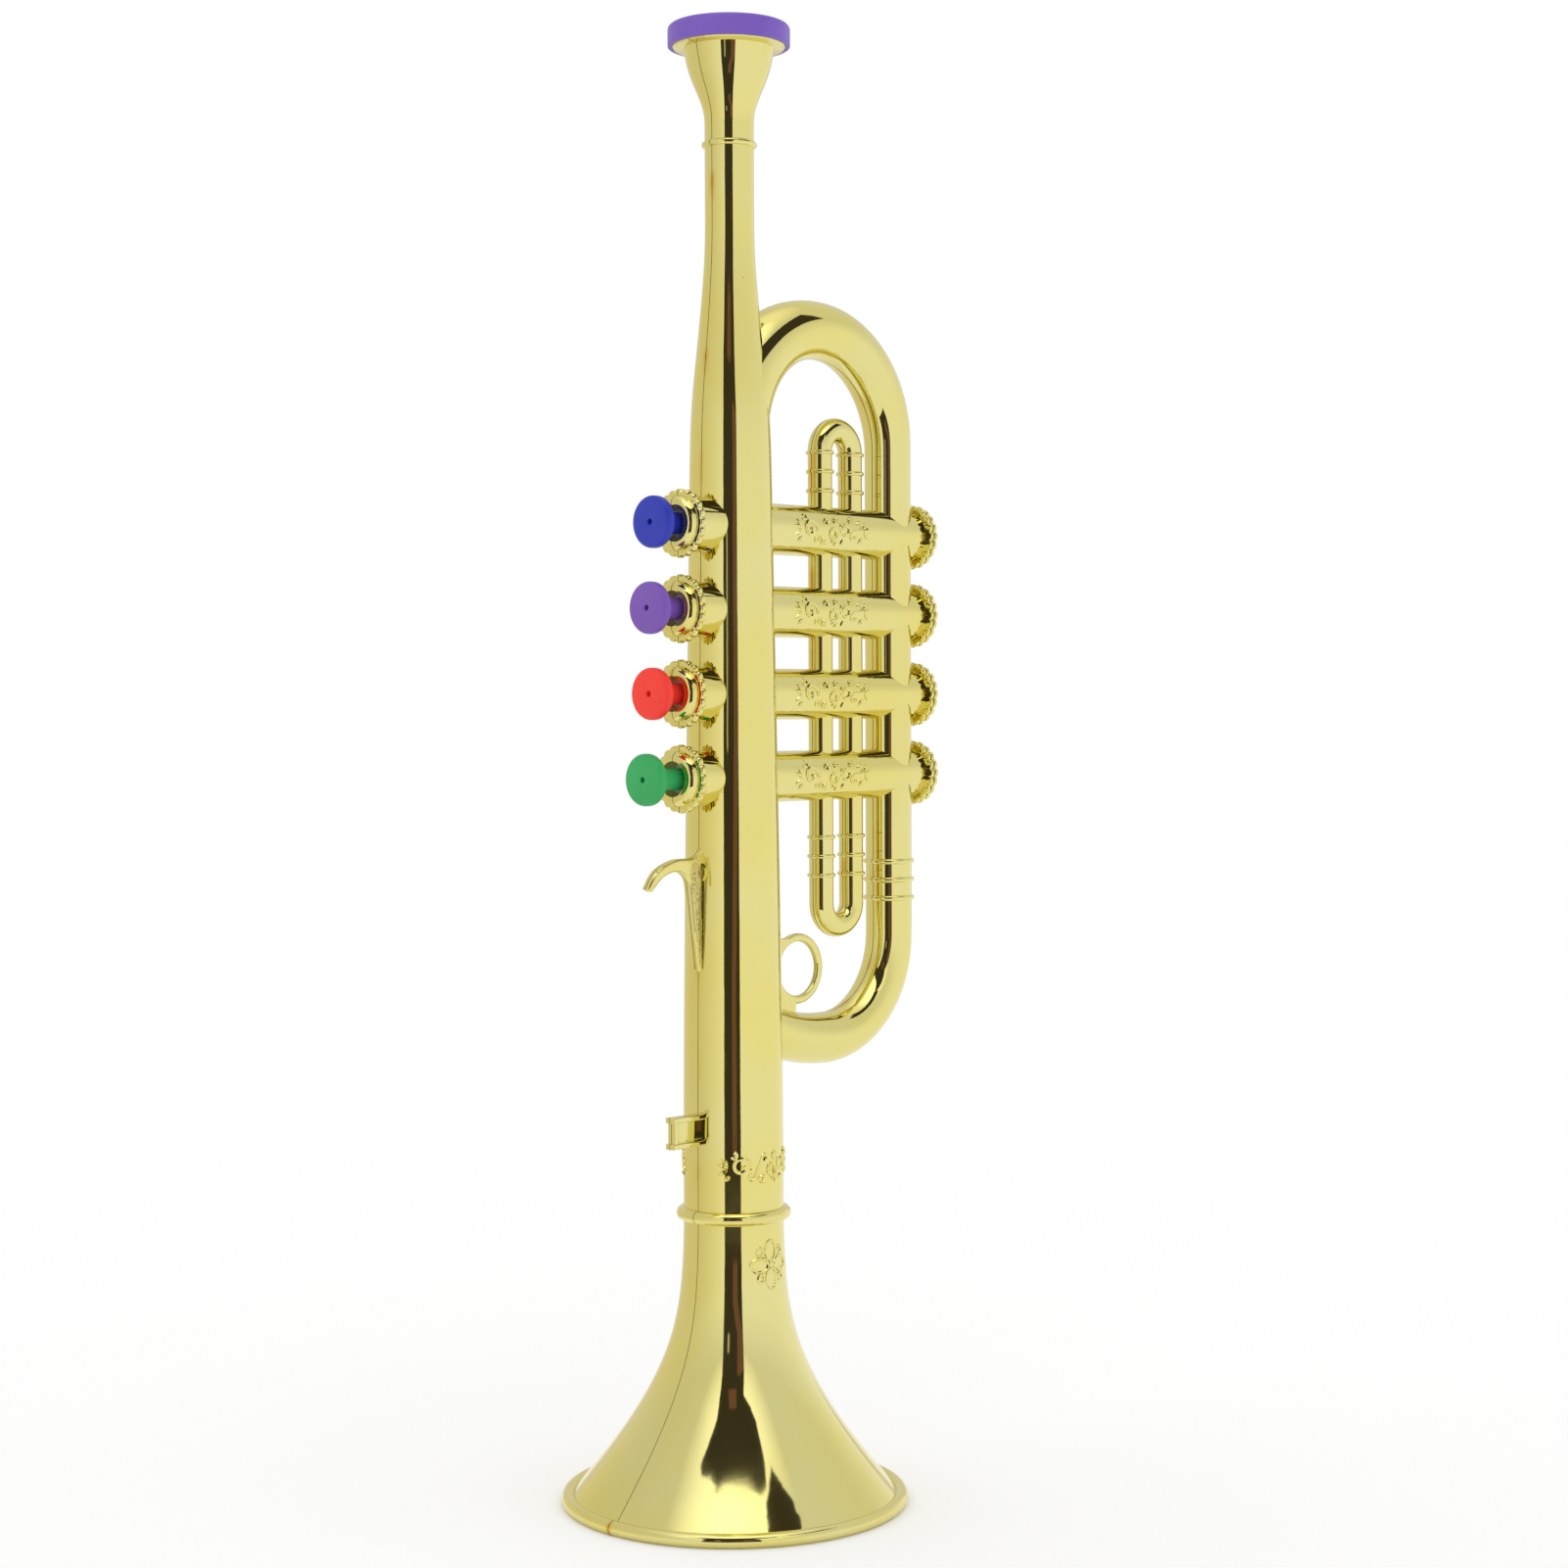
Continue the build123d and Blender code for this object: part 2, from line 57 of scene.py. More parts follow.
warm_gold = (0.79, 0.69, 0.205)
lacquer_orange = (0.70, 0.40, 0.05)
speck_brown = (0.30, 0.13, 0.02)
# Painted shade: a dark brown line along the parting line stands in for the shade in the seam's groove.
seam_shade_brown = (0.10, 0.065, 0.02)
# The hook root's stippled sides: a real rough texture, painted a darker brown that is partly painted shade.
stipple_and_shade_brown = (0.25, 0.15, 0.03)
stipple_off_seam = (0.0012, 0.0013, 0.0015, 0.0017)
stipple_heights = (0.134, 0.136, 0.160, 0.164)
stipple_reach = (-0.017, -0.0155, -0.0128, -0.0118)


def shader(name):
    """A new material's tree, its Principled node, and its Object coordinates."""
    material = bpy.data.materials.new(name)
    material.use_nodes = True
    tree = material.node_tree
    surface = tree.nodes["Principled BSDF"]
    place = tree.nodes.new("ShaderNodeTexCoord").outputs["Object"]
    return material, tree, surface, place


def add(tree, kind, feeds, **settings):
    """One node of a tree. Feeds gives each input socket its value, or the socket that drives it."""
    node = tree.nodes.new(kind)
    for key, value in settings.items():
        setattr(node, key, value)
    for key, value in feeds.items():
        if isinstance(value, bpy.types.NodeSocket):
            tree.links.new(value, node.inputs[key])
        else:
            node.inputs[key].default_value = value
    return node


def noise(tree, place, scale, detail=2.0):
    """Soft noise, as a factor, with its features about one over the scale apart."""
    return add(tree, "ShaderNodeTexNoise", {"Vector": place, "Scale": scale, "Detail": detail}).outputs["Fac"]


def remap(tree, value, low, high, out_low=0.0, out_high=1.0):
    """A value stretched from one range to another and held at its ends."""
    feeds = {"Value": value, "From Min": low, "From Max": high, "To Min": out_low, "To Max": out_high}
    return add(tree, "ShaderNodeMapRange", feeds).outputs["Result"]


def calc(tree, operation, first, second=0.0):
    """One sum of two numbers or sockets."""
    return add(tree, "ShaderNodeMath", {0: first, 1: second}, operation=operation).outputs[0]


def within(tree, value, limits):
    """One inside a range of four limits, fading to nothing at both its ends."""
    first, full, last, gone = limits
    return calc(tree, "MULTIPLY", remap(tree, value, first, full), remap(tree, value, last, gone, 1.0, 0.0))


def blended(tree, factor, first, second):
    """A mix of two colours."""
    mix = add(tree, "ShaderNodeMix", {"Factor": factor}, data_type="RGBA")
    for socket, colour in ((mix.inputs[6], first), (mix.inputs[7], second)):
        if isinstance(colour, bpy.types.NodeSocket):
            tree.links.new(colour, socket)
        else:
            socket.default_value = (*colour, 1)
    return mix.outputs[2]


def bump(tree, surface, layers):
    """Bump from several layers of (height, depth in metres), one on top of the other."""
    normal = None
    for height, depth in layers:
        node = add(tree, "ShaderNodeBump", {"Height": height, "Distance": depth, "Strength": 1.0})
        if normal:
            tree.links.new(normal, node.inputs["Normal"])
        normal = node.outputs["Normal"]
    tree.links.new(normal, surface.inputs["Normal"])


def gold_skin():
    """The metallised and lacquered skin."""
    material, tree, surface, place = shader("gold_skin")
    parts = add(tree, "ShaderNodeSeparateXYZ", {0: place})
    off_seam = calc(tree, "ABSOLUTE", parts.outputs["Y"])
    colour = blended(tree, remap(tree, noise(tree, place, 28.0), 0.35, 0.7), gold, warm_gold)
    gathered = calc(tree, "MULTIPLY", remap(tree, off_seam, 0.0003, 0.0013, 1.0, 0.0),
                    remap(tree, noise(tree, place, 55.0, 3.0), 0.56, 0.68))
    colour = blended(tree, calc(tree, "MULTIPLY", gathered, 0.8), colour, lacquer_orange)
    cells = add(tree, "ShaderNodeTexVoronoi", {"Vector": place, "Scale": 105.0})
    chosen = remap(tree, add(tree, "ShaderNodeSeparateXYZ", {0: cells.outputs["Color"]}).outputs["X"],
                   0.70, 0.72)
    near = remap(tree, cells.outputs["Distance"], 0.012, 0.026, 1.0, 0.0)
    speck = calc(tree, "MULTIPLY", chosen, near)
    colour = blended(tree, calc(tree, "MULTIPLY", speck, 0.75), colour, speck_brown)
    # Painted shade of the seam's groove: a dark brown line painted into the colour along the parting line.
    seam = remap(tree, off_seam, 0.00006, 0.00013, 1.0, 0.0)
    colour = blended(tree, calc(tree, "MULTIPLY", seam, 0.85), colour, seam_shade_brown)
    # The stippled sides of the hook's root: real dots and roughness, with a darker brown that is partly
    # painted shade.
    beside = within(tree, off_seam, stipple_off_seam)
    hooked = calc(tree, "MULTIPLY", within(tree, parts.outputs["Z"], stipple_heights),
                  within(tree, parts.outputs["X"], stipple_reach))
    stipple = calc(tree, "MULTIPLY", beside, hooked)
    dots = add(tree, "ShaderNodeTexVoronoi", {"Vector": place, "Scale": 1100.0}).outputs["Distance"]
    dotted = calc(tree, "MULTIPLY", stipple, remap(tree, dots, 0.1, 0.6, 1.0, 0.25))
    colour = blended(tree, calc(tree, "MULTIPLY", dotted, 0.7), colour, stipple_and_shade_brown)
    tree.links.new(colour, surface.inputs["Base Color"])
    surface.inputs["Metallic"].default_value = 1.0
    smear = remap(tree, noise(tree, place, 70.0, 4.0), 0.3, 0.75, 0.03, 0.085)
    rough = calc(tree, "ADD", smear, calc(tree, "MULTIPLY", calc(tree, "MAXIMUM", seam, speck), 0.3))
    rough = calc(tree, "ADD", rough, calc(tree, "MULTIPLY", stipple, 0.3))
    tree.links.new(rough, surface.inputs["Roughness"])
    bump(tree, surface, [
        (noise(tree, place, 110.0, 1.0), 0.00004),
        (noise(tree, place, 700.0, 1.0), 0.0000018),
        (seam, -0.00004),
        (dotted, -0.00008),
    ])
    return material


skin = gold_skin()

# Bell, main tube, lead tube and cup
# One long turned form, moulded half and half, from the bell's rim up to the flange under the mouthpiece ring.
# Lengths are in millimetres until a finished piece is brought to the frame's metres.
wall = 1.3
cut_over = 2.0
rim_radius = 41.95
throat_radius = 13.16
shoulder_radius = 10.25
lead_radius = 6.15
flare_height = 58.0
shoulder_height = 262.0
lead_height = 322.0
cup_height = 345.0
cup_rise = 19.0
cup_radius = 11.4
flange_radius = 14.1
flange_thickness = 1.7
shell_top = 366.0
lip_bead_radius = 1.79
lip_bead_lift = 1.6
lead_collar_height = 340.3
lead_collar_bead = 0.79
bell_collar_height = 73.2
bell_collar_radius = 12.77
bell_collar_bead = 1.65
flare_shares = ((0.038, 0.974), (0.138, 0.804), (0.293, 0.561), (0.517, 0.273), (0.75, 0.082), (1.0, 0.0))
tube_shares = ((0.108, 0.807), (0.417, 0.636), (0.662, 0.388), (0.868, 0.155), (1.0, 0.0))
shoulder_shares = ((0.217, 0.878), (0.467, 0.524), (0.7, 0.195), (0.85, 0.045), (1.0, 0.0))
cup_shares = ((0.0, 0.0), (0.16, 0.04), (0.316, 0.196), (0.526, 0.509), (0.737, 0.787), (1.0, 1.0))
tube_sides = 160
tube_step = 2.2
crease = radians(32)
edge_round = 0.3


def smooth_through(points, start, end, step):
    """Points along a smooth curve through an outline's points, with the directions at its two ends."""
    p = np.array(points, float)
    h = np.linalg.norm(np.diff(p, axis=0), axis=1)
    count = len(p)
    weights = np.eye(count)
    slopes = np.zeros((count, 2))
    slopes[0] = np.array(start) / np.linalg.norm(start)
    slopes[-1] = np.array(end) / np.linalg.norm(end)
    for i in range(1, count - 1):
        weights[i, i - 1:i + 2] = h[i], 2 * (h[i - 1] + h[i]), h[i - 1]
        before, after = (p[i] - p[i - 1]) / h[i - 1], (p[i + 1] - p[i]) / h[i]
        slopes[i] = 3 * (h[i] * before + h[i - 1] * after)
    slopes = np.linalg.solve(weights, slopes)
    curve = [tuple(p[0])]
    for i in range(count - 1):
        cuts = max(2, ceil(h[i] / step))
        for k in range(1, cuts + 1):
            t = k / cuts
            ends = (1 + 2 * t) * (1 - t) ** 2 * p[i] + t * t * (3 - 2 * t) * p[i + 1]
            lean = t * (1 - t) ** 2 * slopes[i] - t * t * (1 - t) * slopes[i + 1]
            curve.append(tuple(ends + h[i] * lean))
    return curve


def inset_points(points, inset):
    """The same outline moved inwards along its normals."""
    moved = []
    for i, (r, z) in enumerate(points):
        before = points[max(i - 1, 0)]
        after = points[min(i + 1, len(points) - 1)]
        dr, dz = after[0] - before[0], after[1] - before[1]
        size = hypot(dr, dz)
        moved.append((r - inset * dz / size, z + inset * dr / size))
    return moved


def stretch(shares, radius_from, radius_to, bottom, top):
    """Outline points (radius, z) between two radii, from shares of the height and of the change."""
    return [(radius_to + (radius_from - radius_to) * r, bottom + (top - bottom) * z) for z, r in shares]


def tube_outline():
    """Outline of the bell and main tube, from the rim to the straight lead tube."""
    flare = stretch(flare_shares, rim_radius, throat_radius, 0, flare_height)
    tube = stretch(tube_shares, throat_radius, shoulder_radius, flare_height, shoulder_height)
    return flare + tube + stretch(shoulder_shares, shoulder_radius, lead_radius, shoulder_height, lead_height)


def turned_outline(inset):
    """Outline (radius, z) of the whole turned form, from the axis at the bottom to the axis at the top."""
    tube = inset_points(tube_outline(), inset)
    cup = inset_points([(lead_radius + (cup_radius - lead_radius) * r, cup_height + cup_rise * z)
                        for z, r in cup_shares], inset)
    cup[0] = (lead_radius - inset, cup_height)
    tube[-1] = (lead_radius - inset, lead_height)
    low = tube[0]
    curve = smooth_through(tube, (tube[1][0] - low[0], tube[1][1] - low[1]), (0, 1), tube_step)
    curve += smooth_through(cup, (0, 1), (cup[-1][0] - cup[-2][0], cup[-1][1] - cup[-2][1]), tube_step / 2)
    if inset > 0:
        bottom = -cut_over
        ends = [(curve[-1][0], shell_top + cut_over), (0, shell_top + cut_over)]
    else:
        bottom = lip_bead_lift
        under = shell_top - flange_thickness
        ends = [(flange_radius - edge_round, under), (flange_radius, under + edge_round)]
        ends += [(flange_radius, shell_top), (0, shell_top)]
    return [(0, bottom), (low[0], bottom)] + curve + ends


def turn(outline, sides, closed=False):
    """A turned mesh about Z. The outline starts and ends on the axis, or closes on itself as a ring."""
    spots, rings, faces = [], [], []
    for r, z in outline:
        around = 1 if r == 0 else sides
        rings.append(range(len(spots), len(spots) + around))
        spots += [(r * cos(2 * pi * k / sides), r * sin(2 * pi * k / sides), z) for k in range(around)]
    pairs = list(zip(rings, rings[1:]))
    if closed:
        pairs.append((rings[-1], rings[0]))
    for low, high in pairs:
        for k in range(sides):
            j = (k + 1) % sides
            corners = (low[k % len(low)], low[j % len(low)], high[j % len(high)], high[k % len(high)])
            faces.append(tuple(dict.fromkeys(corners)))
    mesh = bpy.data.meshes.new("turned")
    mesh.from_pydata(spots, [], faces)
    return mesh


def form(mesh, place=None):
    """A closed form ready for carving. Its smooth shading is kept on its corners as it is cut."""
    if place:
        mesh.transform(place)
    mesh.shade_smooth()
    mesh.set_sharp_from_angle(angle=crease)
    shading = np.zeros(len(mesh.loops) * 3, np.float32)
    mesh.corner_normals.foreach_get("vector", shading)
    mesh.attributes.new("moulded", "FLOAT_VECTOR", "CORNER").data.foreach_set("vector", shading)
    made = bpy.data.objects.new(mesh.name, mesh)
    bpy.context.scene.collection.objects.link(made)
    return made


def evaluated_mesh(thing):
    """A plain copy of an object's mesh with its modifiers applied."""
    view = bpy.context.evaluated_depsgraph_get()
    return bpy.data.meshes.new_from_object(thing.evaluated_get(view), preserve_all_data_layers=True,
                                           depsgraph=view)


def carve(base, operation, forms):
    """Joins or cuts a form with others, which are used up."""
    tools = bpy.data.collections.new("tools")
    bpy.context.scene.collection.children.link(tools)
    for tool in forms:
        tools.objects.link(tool)
    modifier = base.modifiers.new("carve", "BOOLEAN")
    modifier.operation = operation
    modifier.solver = "MANIFOLD"
    modifier.operand_type = "COLLECTION"
    modifier.collection = tools
    mesh = evaluated_mesh(base)
    base.modifiers.remove(modifier)
    base.data = mesh
    for tool in forms:
        bpy.data.objects.remove(tool)
    bpy.data.collections.remove(tools)
    return base


def bead_ring(radius, bead, height, sides=96, around=16):
    """A round band about Z."""
    outline = [(radius + bead * cos(2 * pi * k / around), height + bead * sin(2 * pi * k / around))
               for k in range(around)]
    return turn(outline, sides, closed=True)


outside = [
    form(bead_ring(rim_radius, lip_bead_radius, lip_bead_lift, tube_sides, 24)),
    form(bead_ring(lead_radius, lead_collar_bead, lead_collar_height)),
    form(bead_ring(bell_collar_radius, bell_collar_bead, bell_collar_height, tube_sides, 24)),
]

# Outer tubing loop and its slide
# Moulded with the body: a long leg with a bend at each end that runs back into the main tube, a small closed
# slide of two tubes, and groups of three raised bands that stand for the slides' ferrules.
slide_wall = 1.1
leg_x = 59.2
leg_radius = 6.1
top_bend_height = 268.4
top_bend_radius = 28.7
top_run_radius = 30.5
top_run_turn = 88
top_apex_radius = 7.4
top_end_radius = 9.7
low_bend_height = 140.09
low_bend_radius = 25.8
low_run_radius = 60.0
low_run_turn = 30
low_apex_radius = 6.6
low_end_radius = 6.1
leg_bead = 0.7
leg_bead_top = 159.24
leg_bead_pitch = 4.85
slide_radius = 3.15
slide_first_x = 32.85
slide_spread = 11.5
slide_top = 266.2
slide_bottom = 149.09
slide_bead = 0.55
slide_bead_tops = (265.85, 166.44)
slide_bead_pitch = 4.95
bead_rows = 3
arc_step = 4
bend_septum = 1.5


def new_tree(name, inputs):
    """A Geometry Nodes tree with a geometry input and output, and named inputs for its sizes."""
    tree = bpy.data.node_groups.new(name, "GeometryNodeTree")
    tree.interface.new_socket("Geometry", in_out="INPUT", socket_type="NodeSocketGeometry")
    for label, kind in inputs:
        tree.interface.new_socket(label, in_out="INPUT", socket_type="NodeSocket" + kind)
    tree.interface.new_socket("Geometry", in_out="OUTPUT", socket_type="NodeSocketGeometry")
    return tree, tree.nodes.new("NodeGroupInput").outputs


def finish_tree(tree, geometry):
    """Ends a tree: real meshes in place of instances, in the gold skin."""
    real = add(tree, "GeometryNodeRealizeInstances", {"Geometry": geometry})
    dressed = add(tree, "GeometryNodeSetMaterial", {"Geometry": real.outputs[0], "Material": skin})
    tree.links.new(dressed.outputs[0], tree.nodes.new("NodeGroupOutput").inputs[0])


def grow(tree, data, sizes):
    """Runs a tree on a mesh or curve and gives the plain mesh it makes."""
    base = bpy.data.objects.new(tree.name, data)
    bpy.context.scene.collection.objects.link(base)
    modifier = base.modifiers.new(tree.name, "NODES")
    modifier.node_group = tree
    for item in tree.interface.items_tree:
        if item.in_out == "INPUT" and item.name in sizes:
            modifier[item.identifier] = sizes[item.name]
    mesh = evaluated_mesh(base)
    bpy.data.objects.remove(base)
    return mesh


def tube_tree():
    """A round tube along a curve, as thick at each point as the curve's own radius."""
    tree, given = new_tree("tube", [("Sides", "Int")])
    ring = add(tree, "GeometryNodeCurvePrimitiveCircle", {"Resolution": given["Sides"], "Radius": 1.0})
    girth = tree.nodes.new("GeometryNodeInputRadius").outputs[0]
    feeds = {"Curve": given["Geometry"], "Profile Curve": ring.outputs[0], "Scale": girth, "Fill Caps": True}
    finish_tree(tree, add(tree, "GeometryNodeCurveToMesh", feeds).outputs[0])
    return tree


def row_tree():
    """Copies of one form in a row down Z."""
    tree, given = new_tree("row", [("Count", "Int"), ("Pitch", "Float")])
    step = add(tree, "ShaderNodeCombineXYZ", {"Z": calc(tree, "MULTIPLY", given["Pitch"], -1.0)})
    line = add(tree, "GeometryNodeMeshLine", {"Count": given["Count"], "Offset": step.outputs[0]})
    feeds = {"Points": line.outputs[0], "Instance": given["Geometry"]}
    finish_tree(tree, add(tree, "GeometryNodeInstanceOnPoints", feeds).outputs[0])
    return tree


tubes = tube_tree()
rows = row_tree()


def path_curve(strokes, closed=False):
    """A curve object's data from strokes, each a list of (x, y, z, radius)."""
    curve = bpy.data.curves.new("path", "CURVE")
    curve.dimensions = "3D"
    for points in strokes:
        spline = curve.splines.new("POLY")
        spline.points.add(len(points) - 1)
        for spot, (x, y, z, radius) in zip(spline.points, points):
            spot.co = (x, y, z, 1)
            spot.radius = radius
        spline.use_cyclic_u = closed
    return curve


def arc(centre_x, centre_z, radius, start, turned, tube_from, tube_to):
    """Path points along a bend in the seam plane, whose own radius changes evenly."""
    cuts = ceil(abs(turned) / arc_step)
    points = []
    for k in range(cuts + 1):
        share = k / cuts
        angle = radians(start + turned * share)
        girth = tube_from + (tube_to - tube_from) * share
        points.append((centre_x + radius * cos(angle), 0, centre_z + radius * sin(angle), girth))
    return points


def loop_path(inset):
    """The loop from its upper run round to its lower run."""
    leg, top, low = leg_radius - inset, top_apex_radius - inset, low_apex_radius - inset
    top_x, low_x = leg_x - top_bend_radius, leg_x - low_bend_radius
    top_z = top_bend_height + top_bend_radius - top_run_radius
    low_z = low_bend_height - low_bend_radius + low_run_radius
    path = arc(top_x, top_z, top_run_radius, 90 + top_run_turn, -top_run_turn,
               top_end_radius - inset, top)[:-1]
    path += arc(top_x, top_bend_height, top_bend_radius, 90, -90, top, leg)
    path += arc(low_x, low_bend_height, low_bend_radius, 0, -90, leg, low)[:-1]
    return path + arc(low_x, low_z, low_run_radius, -90, -low_run_turn, low, low_end_radius - inset)


def slide_path(inset):
    """The closed slide: two tubes with a half turn at each end."""
    tube, half = slide_radius - inset, slide_spread / 2
    middle = slide_first_x + half
    top = arc(middle, slide_top, half, 180, -180, tube, tube)
    return top + arc(middle, slide_bottom, half, 0, -180, tube, tube)


def loop_form(inset, sides):
    """The loop as a closed tube."""
    return form(grow(tubes, path_curve([loop_path(inset)]), {"Sides": sides}))


def slide_form(inset, sides):
    """The slide as a closed ring of tube."""
    return form(grow(tubes, path_curve([slide_path(inset)], closed=True), {"Sides": sides}))


def bead_row(x, tube, bead, top, pitch):
    """Raised bands round a tube that stands at x."""
    mesh = bead_ring(tube, bead, top, 64, 14)
    mesh.transform(Matrix.Translation((x, 0, 0)))
    return form(grow(rows, mesh, {"Count": bead_rows, "Pitch": pitch}))


outside += [loop_form(0, 64), slide_form(0, 48)]
outside.append(bead_row(leg_x, leg_radius, leg_bead, leg_bead_top, leg_bead_pitch))
for tube_x in (slide_first_x, slide_first_x + slide_spread):
    for bead_top in slide_bead_tops:
        outside.append(bead_row(tube_x, slide_radius, slide_bead, bead_top, slide_bead_pitch))

# Valve casings
# Four barrels through the main tube, moulded with the body. Each has a neck with a scalloped flange and
# a raised ring on the buttons' side, and an end of two scalloped discs beyond the loop.
valve_top = 245.4
valve_pitch = 20.97
valve_count = 4
casing_radius = 6.5
casing_end_x = 67.2
neck_radius = 6.9
neck_front_x = -17.0015
front_plate = 1.6
scallop_count = 20
scallop_centre_radius = 7.07
scallop_lobe_radius = 1.45
scallop_plate = 1.1
scallop_groove = 0.4
groove_radius = 7.5
dome_ring_radius = 4.6
dome_ring_bead = 2.3
bore_radius = 4.4
port_radius = 2.7
chamber_radius = 5.2
seat_x = 14.43
end_cap_wall = 1.5
lobe_steps = 10
front_lobe_round = 0.65
bore_lead = 5.0
end_plate_depth = 2 * scallop_plate + scallop_groove
flange_x = neck_front_x - front_plate


def towards_x(x, height=0.0):
    """The place of a form that was made about Z and points along X."""
    return Matrix.Translation((x, 0, height)) @ Matrix.Rotation(pi / 2, 4, "Y")


def bar_outline(radius, length, rounding=0.0):
    """Outline of a round bar, with its far edge rounded."""
    outline = [(0, 0), (radius, 0)]
    for k in range(4):
        angle = pi / 6 * k
        outline.append((radius - rounding * (1 - cos(angle)), length - rounding * (1 - sin(angle))))
    if rounding == 0:
        outline = outline[:3]
    return outline + [(0, length)]


def bar_x(radius, start, end, height, sides=64):
    """A round bar along X."""
    return form(turn(bar_outline(radius, end - start), sides), towards_x(start, height))


def scalloped_disc(thickness, front_round, back_round):
    """A disc about Z whose rim is a ring of lobes, with both its edges rounded."""
    arcs = [(1 - sin(pi / 6 * k), 1 - cos(pi / 6 * k)) for k in range(4)]
    steps = [(front_round * inset, front_round * lift) for inset, lift in arcs]
    steps += [(back_round * inset, thickness - back_round * lift) for inset, lift in reversed(arcs)]
    count = scallop_count * lobe_steps
    half = pi / scallop_count
    mesh = turn([(0, 0)] + [(1, lift) for _, lift in steps] + [(0, thickness)], count)
    for i, spot in enumerate(mesh.vertices[1:-1]):
        inset = steps[i // count][0]
        angle = 2 * pi * (i % count) / count
        off = (angle + half) % (2 * half) - half
        lobe = sqrt(scallop_lobe_radius ** 2 - (scallop_centre_radius * sin(off)) ** 2)
        reach = scallop_centre_radius * cos(off) + lobe - inset
        spot.co = (reach * cos(angle), reach * sin(angle), spot.co.z)
    return mesh


def casing_row(mesh, x):
    """The same form on all four casings, starting at x."""
    mesh.transform(towards_x(x, valve_top))
    return form(grow(rows, mesh, {"Count": valve_count, "Pitch": valve_pitch}))


outside.append(casing_row(scalloped_disc(front_plate, front_lobe_round, edge_round), flange_x))
for plate_x in (casing_end_x, casing_end_x + scallop_plate + scallop_groove):
    outside.append(casing_row(scalloped_disc(scallop_plate, edge_round, edge_round), plate_x))
outside.append(casing_row(turn(bar_outline(groove_radius, end_plate_depth - scallop_plate), 96),
                          casing_end_x + scallop_plate / 2))
outside.append(casing_row(turn(bar_outline(neck_radius, -neck_front_x), 96), neck_front_x))
outside.append(casing_row(turn(bar_outline(casing_radius, casing_end_x + scallop_plate / 2), 96), 0))
outside.append(casing_row(bead_ring(dome_ring_radius, dome_ring_bead, 0, 96, 24), flange_x))
chamber_end = casing_end_x + end_plate_depth - end_cap_wall
casing_hollows = [
    casing_row(turn(bar_outline(bore_radius, bore_lead - flange_x), 64), flange_x - bore_lead),
    casing_row(turn(bar_outline(port_radius, seat_x + 1), 48), 0),
    casing_row(turn(bar_outline(chamber_radius, chamber_end - seat_x), 64), seat_x),
]

# Finger ring, finger hook and music-clip block
# Flat forms moulded on the parting line, half on each side: a ring for a finger with its web, a hook for the
# little finger with a pad at its root, and a small I-shaped block that holds a music clip.
ring_z = 132.89
ring_centre_x = 23.381
finger_inner_radius = 6.95
finger_section = 2.15
finger_thickness = 2.0
ring_tube_radius = 12.18
web_reach = 10.0
web_rise = 8.0
web_fall = 18.8
hook_base_z = 134.19
hook_root_x = -11.775
hook_reach = 18.6
hook_rise = 31.4
hook_thickness = 2.8
hook_pad_radius = 2.6
hook_pad_z = 159.29
hook_pad_lift = 0.6
hook_top_shares = (
    (1.0, 0.69), (0.87, 0.8), (0.6, 0.889), (0.425, 0.911), (0.25, 0.911), (0.1, 0.93), (-0.03, 1.0),
)
hook_under_shares = ((0.92, 0.668), (0.78, 0.745), (0.54, 0.809), (0.35, 0.796), (0.27, 0.758), (0.21, 0.6))
hook_back_shares = ((0.165, 0.4), (0.08, 0.03), (0.02, 0.0))
clip_bottom_z = 91.2
clip_height = 7.9
clip_tip_x = -22.36
clip_width = 3.1
clip_flange = 1.4
clip_web = 1.1
clip_end_inset = 0.6
moulded_round = 0.35


def slab(outline, width, rounding):
    """A flat form in the seam plane from its outline (x, z), with rounded edges."""
    shape = bmesh.new()
    near = [shape.verts.new((x, -width / 2, z)) for x, z in outline]
    far = [shape.verts.new((x, width / 2, z)) for x, z in outline]
    shape.faces.new(near)
    shape.faces.new(reversed(far))
    for i in range(len(outline)):
        shape.faces.new((near[i - 1], far[i - 1], far[i], near[i]))
    bmesh.ops.recalc_face_normals(shape, faces=shape.faces)
    rims = [edge for edge in shape.edges if abs(edge.verts[0].co.y - edge.verts[1].co.y) < 0.01]
    if rounding:
        bmesh.ops.bevel(shape, geom=rims, offset=rounding, segments=3, profile=0.5, affect="EDGES")
    bmesh.ops.triangulate(shape, faces=shape.faces)
    mesh = bpy.data.meshes.new("slab")
    shape.to_mesh(mesh)
    shape.free()
    return form(mesh)


def hook_points(shares):
    """Outline points (x, z) of the hook, from shares of its reach and its rise."""
    return [(hook_root_x - hook_reach * x, hook_base_z + hook_rise * z) for x, z in shares]


def box(x_start, x_end, width, z_start, z_end, rounding=moulded_round):
    """A block centred on the seam plane."""
    corners = [(x_start, z_start), (x_end, z_start), (x_end, z_end), (x_start, z_end)]
    return slab(corners, width, rounding)


def natural(points, step):
    """A smooth curve through points that leaves and arrives along its first and last chords."""
    first = (points[1][0] - points[0][0], points[1][1] - points[0][1])
    last = (points[-1][0] - points[-2][0], points[-1][1] - points[-2][1])
    return smooth_through(points, first, last, step)


def finger_ring_mesh():
    """The finger ring about Y: a soft-edged band."""
    mid, half, depth = finger_inner_radius + finger_section / 2, finger_section / 2, finger_thickness / 2
    outline = []
    for k in range(20):
        angle = 2 * pi * k / 20
        squareness = max(abs(cos(angle)), abs(sin(angle))) ** 0.55
        outline.append((mid + half * cos(angle) / squareness ** 0.6, depth * sin(angle) / squareness ** 0.6))
    return turn(outline, 80, closed=True)


